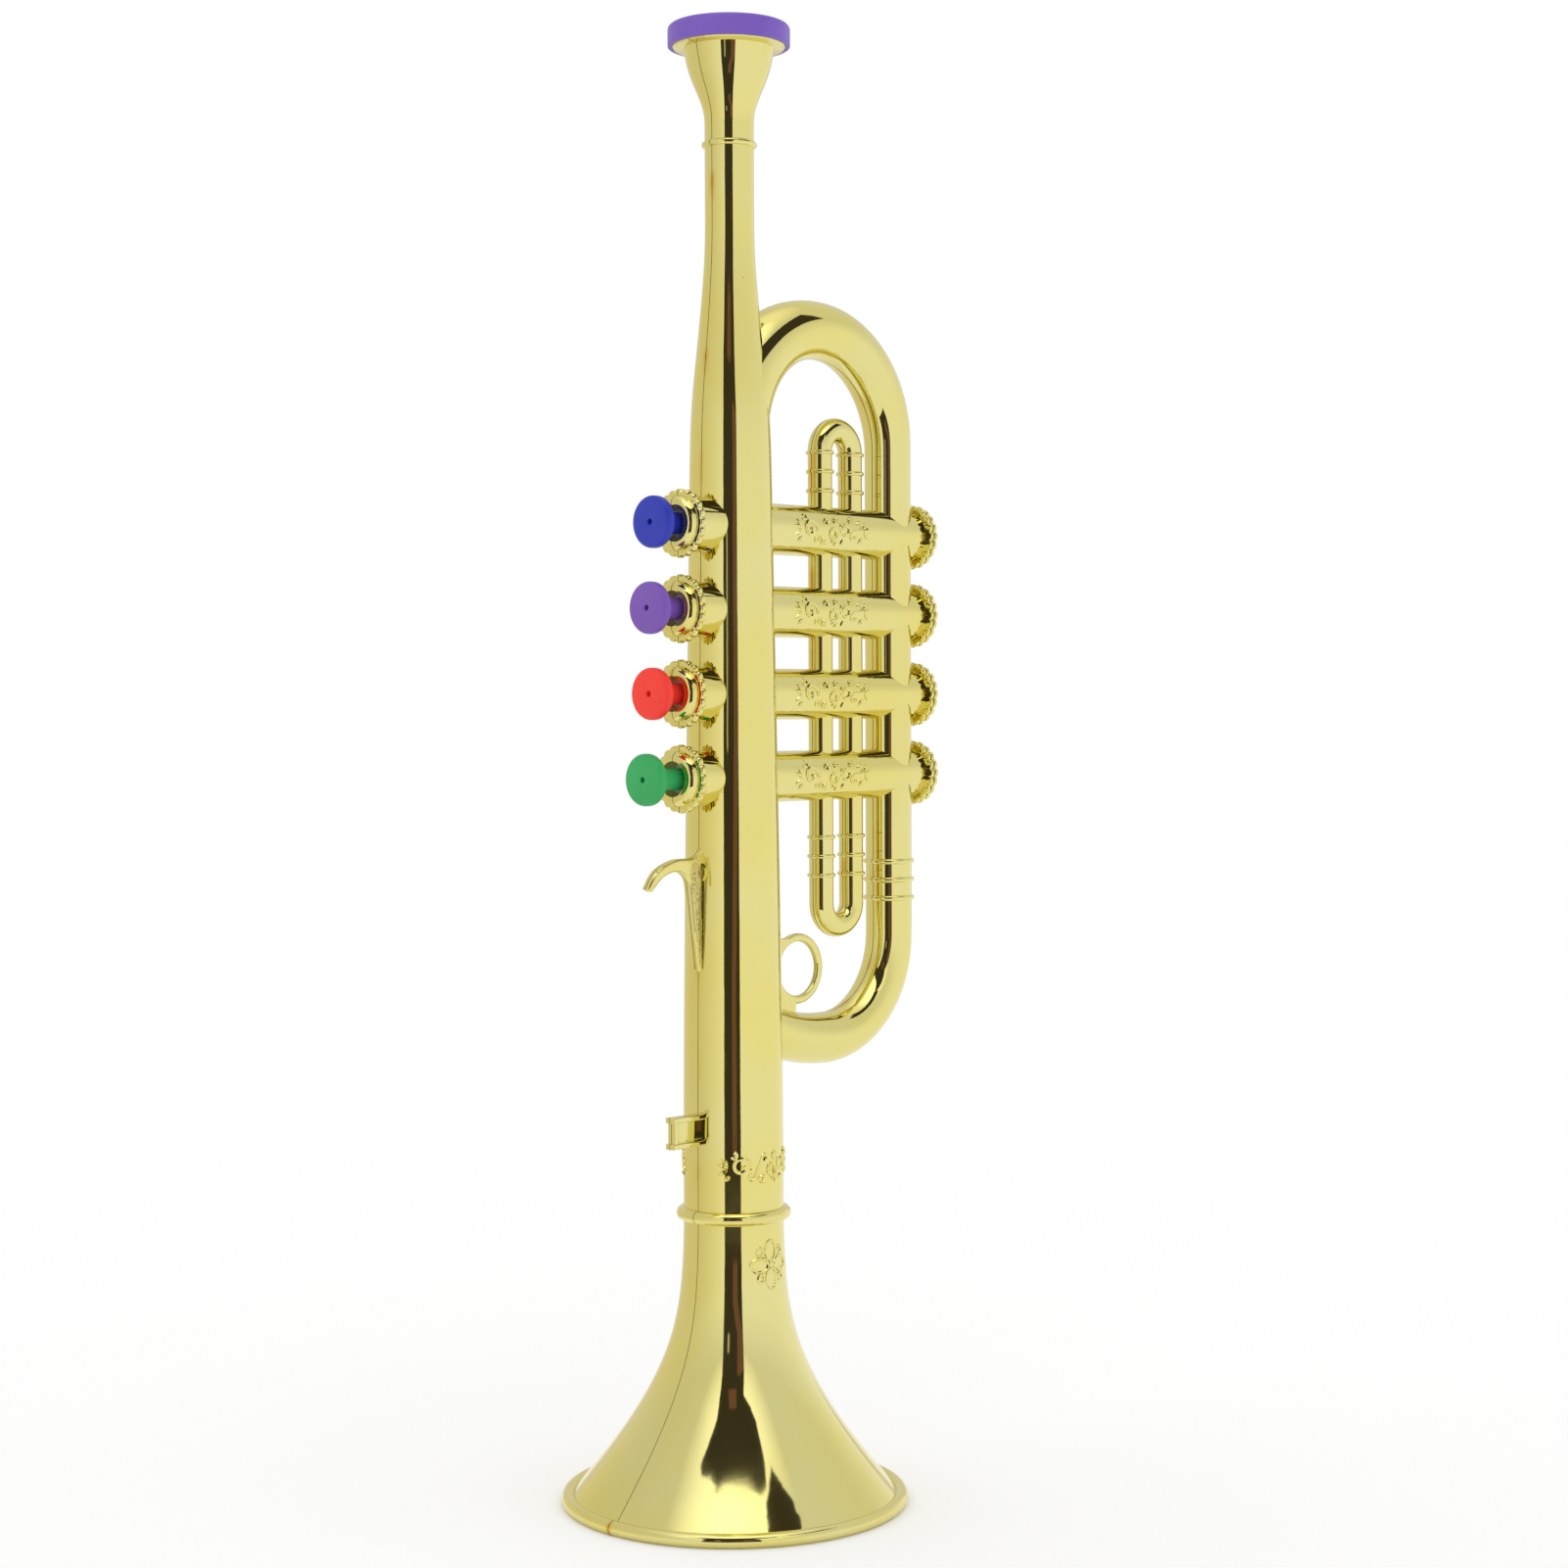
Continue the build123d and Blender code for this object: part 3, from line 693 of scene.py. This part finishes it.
ring_place = Matrix.Translation((ring_centre_x, 0, ring_z)) @ Matrix.Rotation(-pi / 2, 4, "X")
outside.append(form(finger_ring_mesh(), ring_place))
web = box(ring_tube_radius - wall, ring_tube_radius + web_reach, finger_thickness,
          ring_z - web_fall, ring_z + web_rise, 0.25)
hole_place = Matrix.Translation((0, -2 * finger_thickness, 0)) @ ring_place
finger_hole = form(turn(bar_outline(finger_inner_radius + 0.5, 4 * finger_thickness), 80), hole_place)
outside.append(carve(web, "DIFFERENCE", [finger_hole]))
hook_inside_x = hook_root_x + wall
hook_back = hook_points(hook_back_shares)
hook_top = natural(hook_points(hook_top_shares), 1.0)
hook_under = natural(hook_points(hook_under_shares), 1.0)
hook_outline = hook_top + [(hook_inside_x, hook_top[-1][1]), (hook_inside_x, hook_back[-1][1])]
hook_outline += list(reversed(hook_back)) + list(reversed(hook_under))
outside.append(slab(hook_outline, hook_thickness, 0.7))
outside.append(bar_x(hook_pad_radius, hook_root_x - hook_pad_lift, hook_inside_x, hook_pad_z))
clip_top_z = clip_bottom_z + clip_height
clip_root_x = wall - 12.51
clip_end_x = clip_tip_x + clip_end_inset
outside += [
    box(clip_tip_x, clip_root_x, clip_width, clip_bottom_z, clip_bottom_z + clip_flange),
    box(clip_tip_x, clip_root_x, clip_width, clip_top_z - clip_flange, clip_top_z),
    box(clip_end_x, clip_root_x, clip_web, clip_bottom_z + 0.3, clip_top_z - 0.3, 0.1),
    box(clip_end_x, clip_end_x + clip_flange, clip_width - clip_end_inset, clip_bottom_z + 0.3,
        clip_top_z - 0.3, 0.2),
]

# Scrollwork and rosettes
# Fine raised scrolls with leaves at both ends, the same on each side: one along every casing, a bolder one
# round the bell over its collar, and a rosette of looped petals under the collar.
scroll_girth = 0.42
bell_scroll_girth = 0.5
scroll_sink = 0.05
scroll_middle_x = 30.4
bell_scroll_z = 86.0
rosette_z = 61.5
leaf_girths = (0.25, 0.6, 0.78, 0.5, 0.15)
scroll_curls = (
    ((-8.0, 0.2, 0.9, 2.6, 20, -395),),
    ((-5.3, -2.3, 0.4, 0.9, 90, 270), (-1.7, 2.3, 0.9, 0.4, 180, -280)),
    ((0.7, -0.6, 0.8, 1.9, -60, 430),),
    ((1.9, 2.7, 0.45, 1.0, 0, 290),),
    ((5.1, 0.5, 0.8, 1.9, 200, -420),),
    ((8.3, -1.2, 0.5, 1.4, 0, -270), (10.4, 1.7, 1.4, 0.5, -90, 250)),
    ((-2.5, -2.9, 0.7, 0.7, 0, 320),),
    ((1.5, -3.3, 0.8, 0.45, 180, -250),),
    ((-9.9, 3.0, 0.4, 0.9, 200, 250),),
    ((7.6, 2.9, 0.4, 0.9, -20, 250),),
)
scroll_leaves = (
    (-11.3, 0.1, -14.2, 1.0), (-11.5, -0.3, -13.8, -1.9), (-11.4, 0.5, -12.9, 2.6),
    (-10.9, -2.0, -12.2, -3.2), (12.2, 0.2, 14.4, 1.2), (12.2, -0.2, 13.9, -1.8), (12.1, 0.6, 13.0, 2.8),
    (11.7, -1.2, 10.4, -3.2), (4.4, -2.1, 4.0, -3.7), (-8.2, 0.2, -7.7, 0.2),
)
rosette_petals = 4
petal_centre = 3.5
petal_long = 2.5
petal_wide = 1.7
petal_girth = 0.42


def scroll_strokes(girth):
    """The scroll's strokes, each a list of (along, up, girth)."""
    strokes = []
    for curls in scroll_curls:
        stroke = []
        for along, up, reach_from, reach_to, start, turned in curls:
            cuts = ceil(abs(turned) / 20)
            for k in range(cuts + 1):
                angle = radians(start + turned * k / cuts)
                reach = reach_from + (reach_to - reach_from) * k / cuts
                stroke.append((along + reach * cos(angle), up + reach * sin(angle), girth))
        strokes.append(stroke)
    for along, up, tip, high in scroll_leaves:
        steps = len(leaf_girths) - 1
        strokes.append([(along + (tip - along) * k / steps, up + (high - up) * k / steps, girth / 0.6 * swell)
                        for k, swell in enumerate(leaf_girths)])
    return strokes


def rosette_strokes():
    """Looped petals round a button, with a small ring between each two."""
    strokes = []
    for k in range(2 * rosette_petals):
        lean = pi / rosette_petals * k
        if k % 2 == 0:
            distance, long, wide = petal_centre, petal_long, petal_wide
        else:
            distance, long, wide = petal_centre + 1.2, 0.9, 0.9
        stroke = []
        for i in range(20):
            angle = 2 * pi * i / 20
            out, over = distance + long * cos(angle), wide * sin(angle)
            along, up = out * cos(lean) - over * sin(lean), out * sin(lean) + over * cos(lean)
            stroke.append((along, up, petal_girth))
        strokes.append(stroke)
    return strokes


def skin_radius(height):
    """The main tube's outer radius at one height, from its turned outline."""
    outline = turned_outline(0)[2:-4]
    return float(np.interp(height, [z for _, z in outline], [r for r, _ in outline]))


def on_barrel(along, up, side):
    """A spot on the first casing's side, from its place on the flat pattern."""
    reach = casing_radius - scroll_sink
    angle = up / casing_radius
    return scroll_middle_x + along, side * reach * cos(angle), valve_top + reach * sin(angle)


def on_bell(along, up, side, middle):
    """A spot on the bell's side, from its place on the flat pattern."""
    reach = skin_radius(middle + up) - scroll_sink
    angle = along / reach
    return reach * sin(angle), side * reach * cos(angle), middle + up


reliefs = []
for side in (-1, 1):
    for stroke in scroll_strokes(scroll_girth):
        path = path_curve([[(*on_barrel(u, v, side), girth) for u, v, girth in stroke]])
        raised = grow(tubes, path, {"Sides": 7})
        reliefs.append(form(grow(rows, raised, {"Count": valve_count, "Pitch": valve_pitch})))
    for stroke in scroll_strokes(bell_scroll_girth):
        path = path_curve([[(*on_bell(u, v, side, bell_scroll_z), girth) for u, v, girth in stroke]])
        reliefs.append(form(grow(tubes, path, {"Sides": 7})))
    for stroke in rosette_strokes():
        path = path_curve([[(*on_bell(u, v, side, rosette_z), girth) for u, v, girth in stroke]], closed=True)
        reliefs.append(form(grow(tubes, path, {"Sides": 8})))
    button_place = (Matrix.Translation((0, side * (skin_radius(rosette_z) - 0.5), rosette_z))
                    @ Matrix.Rotation(-side * pi / 2, 4, "X"))
    reliefs.append(form(turn(bar_outline(0.9, 0.9, 0.4), 24), button_place))
outside += reliefs

# The two mouldings
# Left and right halves, mirror images that meet on the seam plane. They hold a partition across the main
# tube, three posts with locating pins in the left half, and sockets in the right half; they are glued.
partition_height = 165.99
partition_thickness = 1.6
post_heights = (262.0, 155.99, 100.0)
post_radius = 2.1
pin_radius = 0.9
pin_length = 2.4
socket_clearance = 0.06
seam_gap = 0.05


def bar_y(radius, start, end, height, sides=32):
    """A round bar along Y through the main tube's axis."""
    place = Matrix.Translation((0, start, height)) @ Matrix.Rotation(-pi / 2, 4, "X")
    return form(turn(bar_outline(radius, end - start), sides), place)


def bar_z(radius, bottom, top, sides=64):
    """A round bar along Z on the main tube's axis."""
    return form(turn(bar_outline(radius, top - bottom), sides), Matrix.Translation((0, 0, bottom)))


def half_space(side):
    """A large block that fills the space on one side of the seam plane, up to half the seam's gap."""
    reach = 2 * shell_top
    inner = -side * seam_gap
    block = bmesh.new()
    bmesh.ops.create_cube(block, size=reach)
    bmesh.ops.translate(block, verts=block.verts, vec=(0, inner + side * reach / 2, shell_top / 2))
    mesh = bpy.data.meshes.new("half_space")
    block.to_mesh(mesh)
    block.free()
    return form(mesh)


def in_metres(mesh):
    """Brings a finished mesh from millimetres to the frame's metres."""
    mesh.transform(Matrix.Scale(0.001, 4))
    return mesh


def release(made, name):
    """The carved moulding as a finished piece: its kept shading becomes its own, and one skin covers it."""
    mesh = made.data
    shading = np.zeros(len(mesh.loops) * 3, np.float32)
    mesh.attributes["moulded"].data.foreach_get("vector", shading)
    shading = shading.reshape(-1, 3)
    flat = np.zeros(len(mesh.polygons) * 3, np.float32)
    mesh.polygons.foreach_get("normal", flat)
    corners = np.zeros(len(mesh.polygons), np.int32)
    mesh.polygons.foreach_get("loop_total", corners)
    flat = np.repeat(flat.reshape(-1, 3), corners, axis=0)
    facing = (shading * flat).sum(axis=1)
    shading[facing < 0] *= -1
    lost = np.abs(facing) < 0.3
    shading[lost] = flat[lost]
    shading /= np.linalg.norm(shading, axis=1, keepdims=True)
    mesh.attributes.remove(mesh.attributes["moulded"])
    in_metres(mesh)
    mesh.normals_split_custom_set(shading.tolist())
    mesh.materials.clear()
    mesh.materials.append(skin)
    mesh.polygons.foreach_set("material_index", np.zeros(len(mesh.polygons), np.int32))
    made.name = name
    return made


body = carve(form(turn(turned_outline(0), tube_sides)), "UNION", outside)
wind_way = form(turn(turned_outline(wall), 96))
inner_walls = [bar_z(throat_radius, partition_height, partition_height + partition_thickness)]
inner_walls += [bar_y(post_radius, -throat_radius, throat_radius, height) for height in post_heights]
wind_way = carve(wind_way, "DIFFERENCE", inner_walls)
apex_x = leg_x - top_bend_radius
apex_z = top_bend_height + top_bend_radius
septum = box(apex_x, apex_x + bend_septum, 3 * top_apex_radius, apex_z - 9, apex_z + 9, 0)
loop_hollow = carve(loop_form(wall, 40), "DIFFERENCE", [septum])
barrels = casing_row(turn(bar_outline(casing_radius, casing_end_x), 64), 0)
slide_hollow = carve(slide_form(slide_wall, 24), "DIFFERENCE", [barrels])
under_floor = box(-2 * rim_radius, 2 * rim_radius, 4 * rim_radius, -cut_over, 0, 0)
body = carve(body, "DIFFERENCE", [wind_way, loop_hollow, slide_hollow, under_floor] + casing_hollows)
left = body
right = body.copy()
right.data = body.data.copy()
bpy.context.scene.collection.objects.link(right)
left = carve(left, "DIFFERENCE", [half_space(1)])
right = carve(right, "DIFFERENCE", [half_space(-1)])
left = carve(left, "UNION", [bar_y(pin_radius, -pin_length, pin_length, height) for height in post_heights])
sockets = [bar_y(pin_radius + socket_clearance, -1, pin_length + 0.1, height) for height in post_heights]
right = carve(right, "DIFFERENCE", sockets)
for half, name in ((left, "left_moulding"), (right, "right_moulding")):
    release(half, name)
    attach(half, "horn")
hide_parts("left_shell")
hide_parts("right_shell")

# Mouthpiece ring
# A purple ring in soft PVC that is pushed over the cup's flange. Satin, slightly uneven in colour, with
# a round shoulder on top and a rebate that grips the flange.
ring_purple = (0.205, 0.105, 0.52)
ring_dark_purple = (0.165, 0.078, 0.46)
ring_top = 370.0
ring_bottom = 364.6
ring_outer = 15.28
ring_inner = 10.1
ring_rebate = 14.15
ring_round = 1.3
ring_inner_round = 0.9
ring_edge = 0.25


def plastic(name, colour, shade, roughness, patch=60.0, grain=1500.0, depth=0.000012):
    """Moulded plastic: two near shades in soft patches, a fine grain and slightly uneven gloss."""
    material, tree, surface, place = shader(name)
    tree.links.new(blended(tree, remap(tree, noise(tree, place, patch, 3.0), 0.3, 0.7), colour, shade),
                   surface.inputs["Base Color"])
    gloss = remap(tree, noise(tree, place, patch * 3, 4.0), 0.25, 0.75, roughness - 0.06, roughness + 0.08)
    tree.links.new(gloss, surface.inputs["Roughness"])
    surface.inputs["Specular IOR Level"].default_value = 0.35
    ripple, fine = noise(tree, place, patch * 5, 2.0), noise(tree, place, grain, 2.0)
    bump(tree, surface, [(ripple, depth * 2), (fine, depth)])
    return material


def rounded(points, steps=5):
    """An outline whose corners (r, z, rounding) are rounded off."""
    outline = []
    for i, (r, z, rounding) in enumerate(points):
        corner = Vector((r, z))
        if rounding == 0:
            outline.append((r, z))
            continue
        before, after = Vector(points[i - 1][:2]), Vector(points[(i + 1) % len(points)][:2])
        start = corner + (before - corner).normalized() * rounding
        end = corner + (after - corner).normalized() * rounding
        middle = start + end - corner
        for k in range(steps + 1):
            angle = pi / 2 * k / steps
            spot = middle + (start - middle) * cos(angle) + (end - middle) * sin(angle)
            outline.append(tuple(spot))
    return outline


def dress(mesh, name, material, body_name, replaced):
    """A finished piece: smooth with crisp edges, in its material, riding on its body for its CAD node."""
    in_metres(mesh)
    mesh.shade_smooth()
    mesh.set_sharp_from_angle(angle=crease)
    mesh.materials.append(material)
    piece = bpy.data.objects.new(name, mesh)
    bpy.context.scene.collection.objects.link(piece)
    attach(piece, body_name)
    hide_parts(replaced)
    return piece


lip_ring = rounded([
    (ring_rebate, ring_bottom, 0.1), (ring_outer, ring_bottom, ring_edge), (ring_outer, ring_top, ring_round),
    (ring_inner, ring_top, ring_inner_round), (ring_inner, shell_top, 0.1), (ring_rebate, shell_top, 0),
])
dress(turn(lip_ring, tube_sides, closed=True), "mouthpiece_lip_ring",
      plastic("purple_ring_pvc", ring_purple, ring_dark_purple, 0.42),
      "horn", "mouthpiece_ring")

# Push buttons
# Blue, purple, red and green caps in polypropylene, each moulded in one with its stem. The face is flat with
# a soft lighter edge and a small gate dimple; the stem has a blind hole for the valve's rod.
cap_radius = 6.42
cap_thickness = 2.5
cap_round = 1.0
cap_back_round = 0.4
dimple_radius = 0.75
dimple_depth = 1.6
stem_radius = 2.65
rod_radius = 1.2
rod_front_x = -18.0015
fit_clearance = 0.05
flush_gap = 0.1
button_colours = {
    "blue": ((0.022, 0.04, 0.46), (0.016, 0.03, 0.40)),
    "purple": ((0.20, 0.09, 0.45), (0.17, 0.07, 0.40)),
    "red": ((0.93, 0.042, 0.026), (0.86, 0.03, 0.02)),
    "green": ((0.03, 0.40, 0.11), (0.022, 0.35, 0.09)),
}
for row, (colour, (light, dark)) in enumerate(button_colours.items()):
    low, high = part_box(f"{colour}_button")
    face, end = low.x * 1000, high.x * 1000
    reach = end - face
    socket = rod_front_x - flush_gap - face
    button_outline = rounded([
        (0, dimple_depth, 0), (dimple_radius, dimple_depth, 0), (dimple_radius, 0, 0.15),
        (cap_radius, 0, cap_round), (cap_radius, cap_thickness, cap_back_round),
        (stem_radius, cap_thickness, 0.3), (stem_radius, reach, 0.2),
        (rod_radius + fit_clearance, reach, 0), (rod_radius + fit_clearance, socket, 0), (0, socket, 0),
    ])
    button = turn(button_outline, 96)
    button.transform(towards_x(face, valve_top - row * valve_pitch))
    dress(button, f"{colour}_push_button", plastic(f"{colour}_cap_plastic", light, dark, 0.36),
          f"{colour}_valve", f"{colour}_button")

# Valve works
# Inside each casing: a white guide bush, a white rod with its disc, a grey rubber seal pad, a white reed
# block, and a brass plate whose tongue is held by a steel rivet. The CAD solids stay and get their finishes.
works = {
    "guide_bush": plastic("white_acetal", (0.80, 0.80, 0.77), (0.74, 0.74, 0.70), 0.4),
    "seal_pad": plastic("grey_rubber", (0.09, 0.09, 0.095), (0.06, 0.06, 0.065), 0.75, grain=2500.0),
}
works["valve_rod"] = works["guide_bush"]
works["reed_block"] = works["guide_bush"]


def drawn_metal(name, colour, shade, roughness, stretch_x):
    """Rolled or drawn metal with fine lines along X and faint patches of tarnish."""
    material, tree, surface, place = shader(name)
    tree.links.new(blended(tree, remap(tree, noise(tree, place, 300.0, 4.0), 0.35, 0.7), colour, shade),
                   surface.inputs["Base Color"])
    surface.inputs["Metallic"].default_value = 1.0
    lines = add(tree, "ShaderNodeMapping", {"Vector": place, "Scale": (stretch_x, 1, 1)})
    grain = noise(tree, lines.outputs[0], 4000.0, 2.0)
    gloss = remap(tree, grain, 0.3, 0.7, roughness - 0.08, roughness + 0.1)
    tree.links.new(gloss, surface.inputs["Roughness"])
    bump(tree, surface, [(grain, 0.000003)])
    return material


works["reed_plate"] = drawn_metal("rolled_brass", (0.80, 0.60, 0.28), (0.70, 0.48, 0.20), 0.3, 0.08)
works["reed_tongue"] = works["reed_plate"]
works["reed_rivet"] = drawn_metal("rivet_steel", (0.60, 0.60, 0.60), (0.52, 0.52, 0.52), 0.3, 1.0)
for colour in button_colours:
    for part, material in works.items():
        mesh = nodes[f"{colour}_{part}"].data
        mesh.materials.clear()
        mesh.materials.append(material)

# Return springs
# Six turns of steel wire behind each valve's disc, pressed against the reed block. A real spring is squashed
# towards the block as its button goes in; this wire keeps one length and rides on the horn.
spring_radius = 2.3
spring_wire = 0.2
spring_turns = 6
turn_steps = 28
spring_steel = drawn_metal("spring_wire", (0.62, 0.62, 0.60), (0.50, 0.50, 0.49), 0.25, 1.0)
for row, colour in enumerate(button_colours):
    low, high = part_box(f"{colour}_return_spring")
    front, back = low.x * 1000 + spring_wire, high.x * 1000 - spring_wire
    coil = []
    for k in range(spring_turns * turn_steps + 1):
        angle = 2 * pi * k / turn_steps
        along = front + (back - front) * k / (spring_turns * turn_steps)
        coil.append((along, spring_radius * cos(angle),
                     valve_top - row * valve_pitch + spring_radius * sin(angle), spring_wire))
    wire = grow(tubes, path_curve([coil]), {"Sides": 10})
    wire.materials.clear()
    spring = dress(wire, f"{colour}_coil_spring", spring_steel, "horn",
                   f"{colour}_return_spring")
    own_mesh(spring)

# Studio: floor, light tent and camera
# The toy stands on a white floor in a white light tent. The photographer's side of the tent is dark with a
# brown stripe, which the mirror skin shows as a dark band, a dark lamp panel leans over it, and the tent is
# warmer on the left.
tube_distance = 0.7209
camera_side = radians(-45.37)
camera_height = 0.1997
camera_yaw = radians(1.038)
camera_pitch = radians(1.499)
camera_roll = radians(-0.221)
camera_lens = 65.944
sensor_width = 36.0


def plain(name, colour, strength):
    """A studio surface that only gives off its own even light."""
    material = bpy.data.materials.new(name)
    material.use_nodes = True
    tree = material.node_tree
    tree.nodes.clear()
    glow = add(tree, "ShaderNodeEmission", {"Color": (*colour, 1), "Strength": strength})
    output = tree.nodes.new("ShaderNodeOutputMaterial")
    tree.links.new(glow.outputs[0], output.inputs["Surface"])
    return material


def staged(name, corners, faces, material, mirror_only=True):
    """A studio surface from its corners, which only reflections show unless it is the floor."""
    mesh = bpy.data.meshes.new(name)
    mesh.from_pydata(corners, [], faces)
    mesh.materials.append(material)
    surface = bpy.data.objects.new(name, mesh)
    bpy.context.scene.collection.objects.link(surface)
    if mirror_only:
        surface.visible_camera = False
        surface.visible_diffuse = False
        surface.visible_shadow = False
        surface.visible_transmission = False
    return surface


def aimed(angle, up=0.0):
    """A direction from the toy, at one angle round it and another above the floor."""
    return Vector((sin(angle) * cos(up), -cos(angle) * cos(up), sin(up)))


def upright(name, material, distance, rows, lean=0.0, cuts=8):
    """A card that stands around the toy: rows of a height and two edges in degrees off the camera."""
    corners = []
    for row_height, start, end in rows:
        for k in range(cuts + 1):
            reach = distance + lean * (row_height - rows[0][0])
            spot = reach * aimed(camera_side + radians(start + (end - start) * k / cuts))
            corners.append((spot.x, spot.y, row_height))
    faces = []
    for row in range(len(rows) - 1):
        for k in range(cuts):
            low = row * (cuts + 1) + k
            faces.append((low, low + 1, low + cuts + 2, low + cuts + 1))
    return staged(name, corners, faces, material)


def floor_sector(name, material, lift, near, far, azimuths):
    """A card just over the floor, between two distances, with its corners in degrees off the camera."""
    corners = []
    for azimuth in azimuths:
        aim = aimed(camera_side + radians(azimuth))
        corners += [(reach * aim.x, reach * aim.y, lift) for reach in (near, far)]
    faces = [(2 * k, 2 * k + 1, 2 * k + 3, 2 * k + 2) for k in range(len(azimuths) - 1)]
    return staged(name, corners, faces, material)


floor_material, _, floor_surface, _ = shader("white_floor")
floor_surface.inputs["Base Color"].default_value = (1.0, 1.0, 1.0, 1)
floor_surface.inputs["Roughness"].default_value = 0.9
floor_surface.inputs["Specular IOR Level"].default_value = 0.0
staged("floor", [(-6, -6, 0), (6, -6, 0), (6, 6, 0), (-6, 6, 0)], [(0, 1, 2, 3)], floor_material, False)
black_card = plain("black_card", (0.045, 0.038, 0.03), 1.0)
brown_card = plain("brown_card", (0.17, 0.085, 0.07), 1.0)
bright_gap = plain("bright_gap", (0.5, 0.45, 0.36), 1.0)
grey_card = plain("grey_card", (0.74, 0.72, 0.68), 1.0)
card_distance = 0.63
stripe_distance = 0.62
upright("camera_side_card", black_card, card_distance, (
    (0.0, -20.5, 16.3), (0.42, -20.5, 16.3), (0.54, -23.6, 14.0), (0.6, -24.5, 24.0), (0.67, -26.0, 31.0),
    (0.77, -35.0, 34.5), (0.84, -43.0, 37.4), (0.9, -41.0, 38.0), (0.97, -31.0, 38.0), (1.05, -22.0, 30.0),
))
upright("brown_stripe", brown_card, stripe_distance, (
    (0.0, -2.6, 7.6), (0.085, -2.6, 7.6), (0.2, 5.0, 15.2), (0.4, 5.0, 15.2), (0.43, 5.0, 8.0),
))
upright("upper_stripe", brown_card, stripe_distance, ((0.5, -10.0, 3.0), (0.62, -8.0, 2.0)))
upright("bright_gap", bright_gap, stripe_distance, ((0.2, -12.5, -9.0), (0.3, -12.5, -9.0)))
upright("backdrop_fold", grey_card, 1.9, ((0.0, 152, 208), (1.5, 152, 208)))
upright("lamp_panel", black_card, 0.374, ((0.49, 44, 105), (0.91, 34, 105)), 0.348)
floor_edge = 0.4
floor_sector("table_edge", black_card, 0.002, floor_edge, card_distance, (-20.5, -8.0, 4.0, 16.3))

warm_azimuth = -115
warm_side = aimed(camera_side + radians(warm_azimuth))
warm_tone = (0.80, 0.745, 0.58)
warm_floor_from = 0.2
warm_floor_to = 8.6


def facing(tree, toward, side):
    """How nearly one direction faces another, as the cosine of the angle between them."""
    return add(tree, "ShaderNodeVectorMath", {0: toward, 1: side}, operation="DOT_PRODUCT").outputs["Value"]


def side_tone(tree, toward, share):
    """The tent's own colour in one direction: white, but warmer and dimmer on the photographer's left."""
    near = remap(tree, facing(tree, toward, warm_side), 0.0, 0.85)
    return blended(tree, calc(tree, "MULTIPLY", near, share), (1.0, 1.0, 1.0), warm_tone)


warm_floor = plain("warm_floor", (1.0, 1.0, 1.0), 0.97)
warm_tree = warm_floor.node_tree
from_toy = warm_tree.nodes.new("ShaderNodeTexCoord").outputs["Object"]
outward = add(warm_tree, "ShaderNodeVectorMath", {0: from_toy}, operation="NORMALIZE").outputs[0]
warm_tree.links.new(side_tone(warm_tree, outward, 1.0), warm_tree.nodes["Emission"].inputs["Color"])
floor_sector("warm_floor_side", warm_floor, 0.0015, warm_floor_from, warm_floor_to,
             [warm_azimuth + 10 * k for k in range(-9, 10)])

world = bpy.data.worlds.new("tent")
bpy.context.scene.world = world
world.use_nodes = True
tent = world.node_tree
toward_all = tent.nodes.new("ShaderNodeTexCoord").outputs["Generated"]
toward = add(tent, "ShaderNodeSeparateXYZ", {0: toward_all})
height = toward.outputs["Z"]
walls = remap(tent, height, 0.08, 0.45, 0.98, 0.79)
crown = remap(tent, height, 0.82, 0.97, 0.0, 0.32)
lamp_side = aimed(camera_side, radians(58))
lamp_glow = remap(tent, facing(tent, toward_all, lamp_side), cos(radians(38)), cos(radians(12)), 0.0, 0.7)
seen_in_gold = calc(tent, "ADD", calc(tent, "ADD", walls, crown), lamp_glow)
mirrored = tent.nodes.new("ShaderNodeLightPath").outputs["Is Glossy Ray"]
wall_tone = side_tone(tent, toward_all, remap(tent, height, 0.05, 0.45, 1.0, 0.4))
toned = add(tent, "ShaderNodeVectorMath", {0: wall_tone, "Scale": seen_in_gold}, operation="SCALE").outputs[0]
tent_light = blended(tent, mirrored, (1.0, 1.0, 1.0), toned)
tent.links.new(tent_light, tent.nodes["Background"].inputs["Color"])

eye = bpy.data.cameras.new("camera")
eye.sensor_width = sensor_width
eye.lens = camera_lens
camera = bpy.data.objects.new("camera", eye)
bpy.context.scene.collection.objects.link(camera)
forward = Vector((-sin(camera_side), cos(camera_side), 0))
across = Vector((cos(camera_side), sin(camera_side), 0))
upwards = Vector((0, 0, 1))
forward, across = (forward * cos(camera_yaw) + across * sin(camera_yaw),
                   across * cos(camera_yaw) - forward * sin(camera_yaw))
forward, upwards = (forward * cos(camera_pitch) - upwards * sin(camera_pitch),
                    upwards * cos(camera_pitch) + forward * sin(camera_pitch))
across, upwards = (across * cos(camera_roll) + upwards * sin(camera_roll),
                   upwards * cos(camera_roll) - across * sin(camera_roll))
turned_to = Matrix((across, upwards, -forward)).transposed().to_4x4()
stand = Vector((tube_distance * sin(camera_side), -tube_distance * cos(camera_side), camera_height))
camera.matrix_world = Matrix.Translation(stand) @ turned_to
bpy.context.scene.camera = camera
bpy.context.scene.view_settings.view_transform = "Standard"
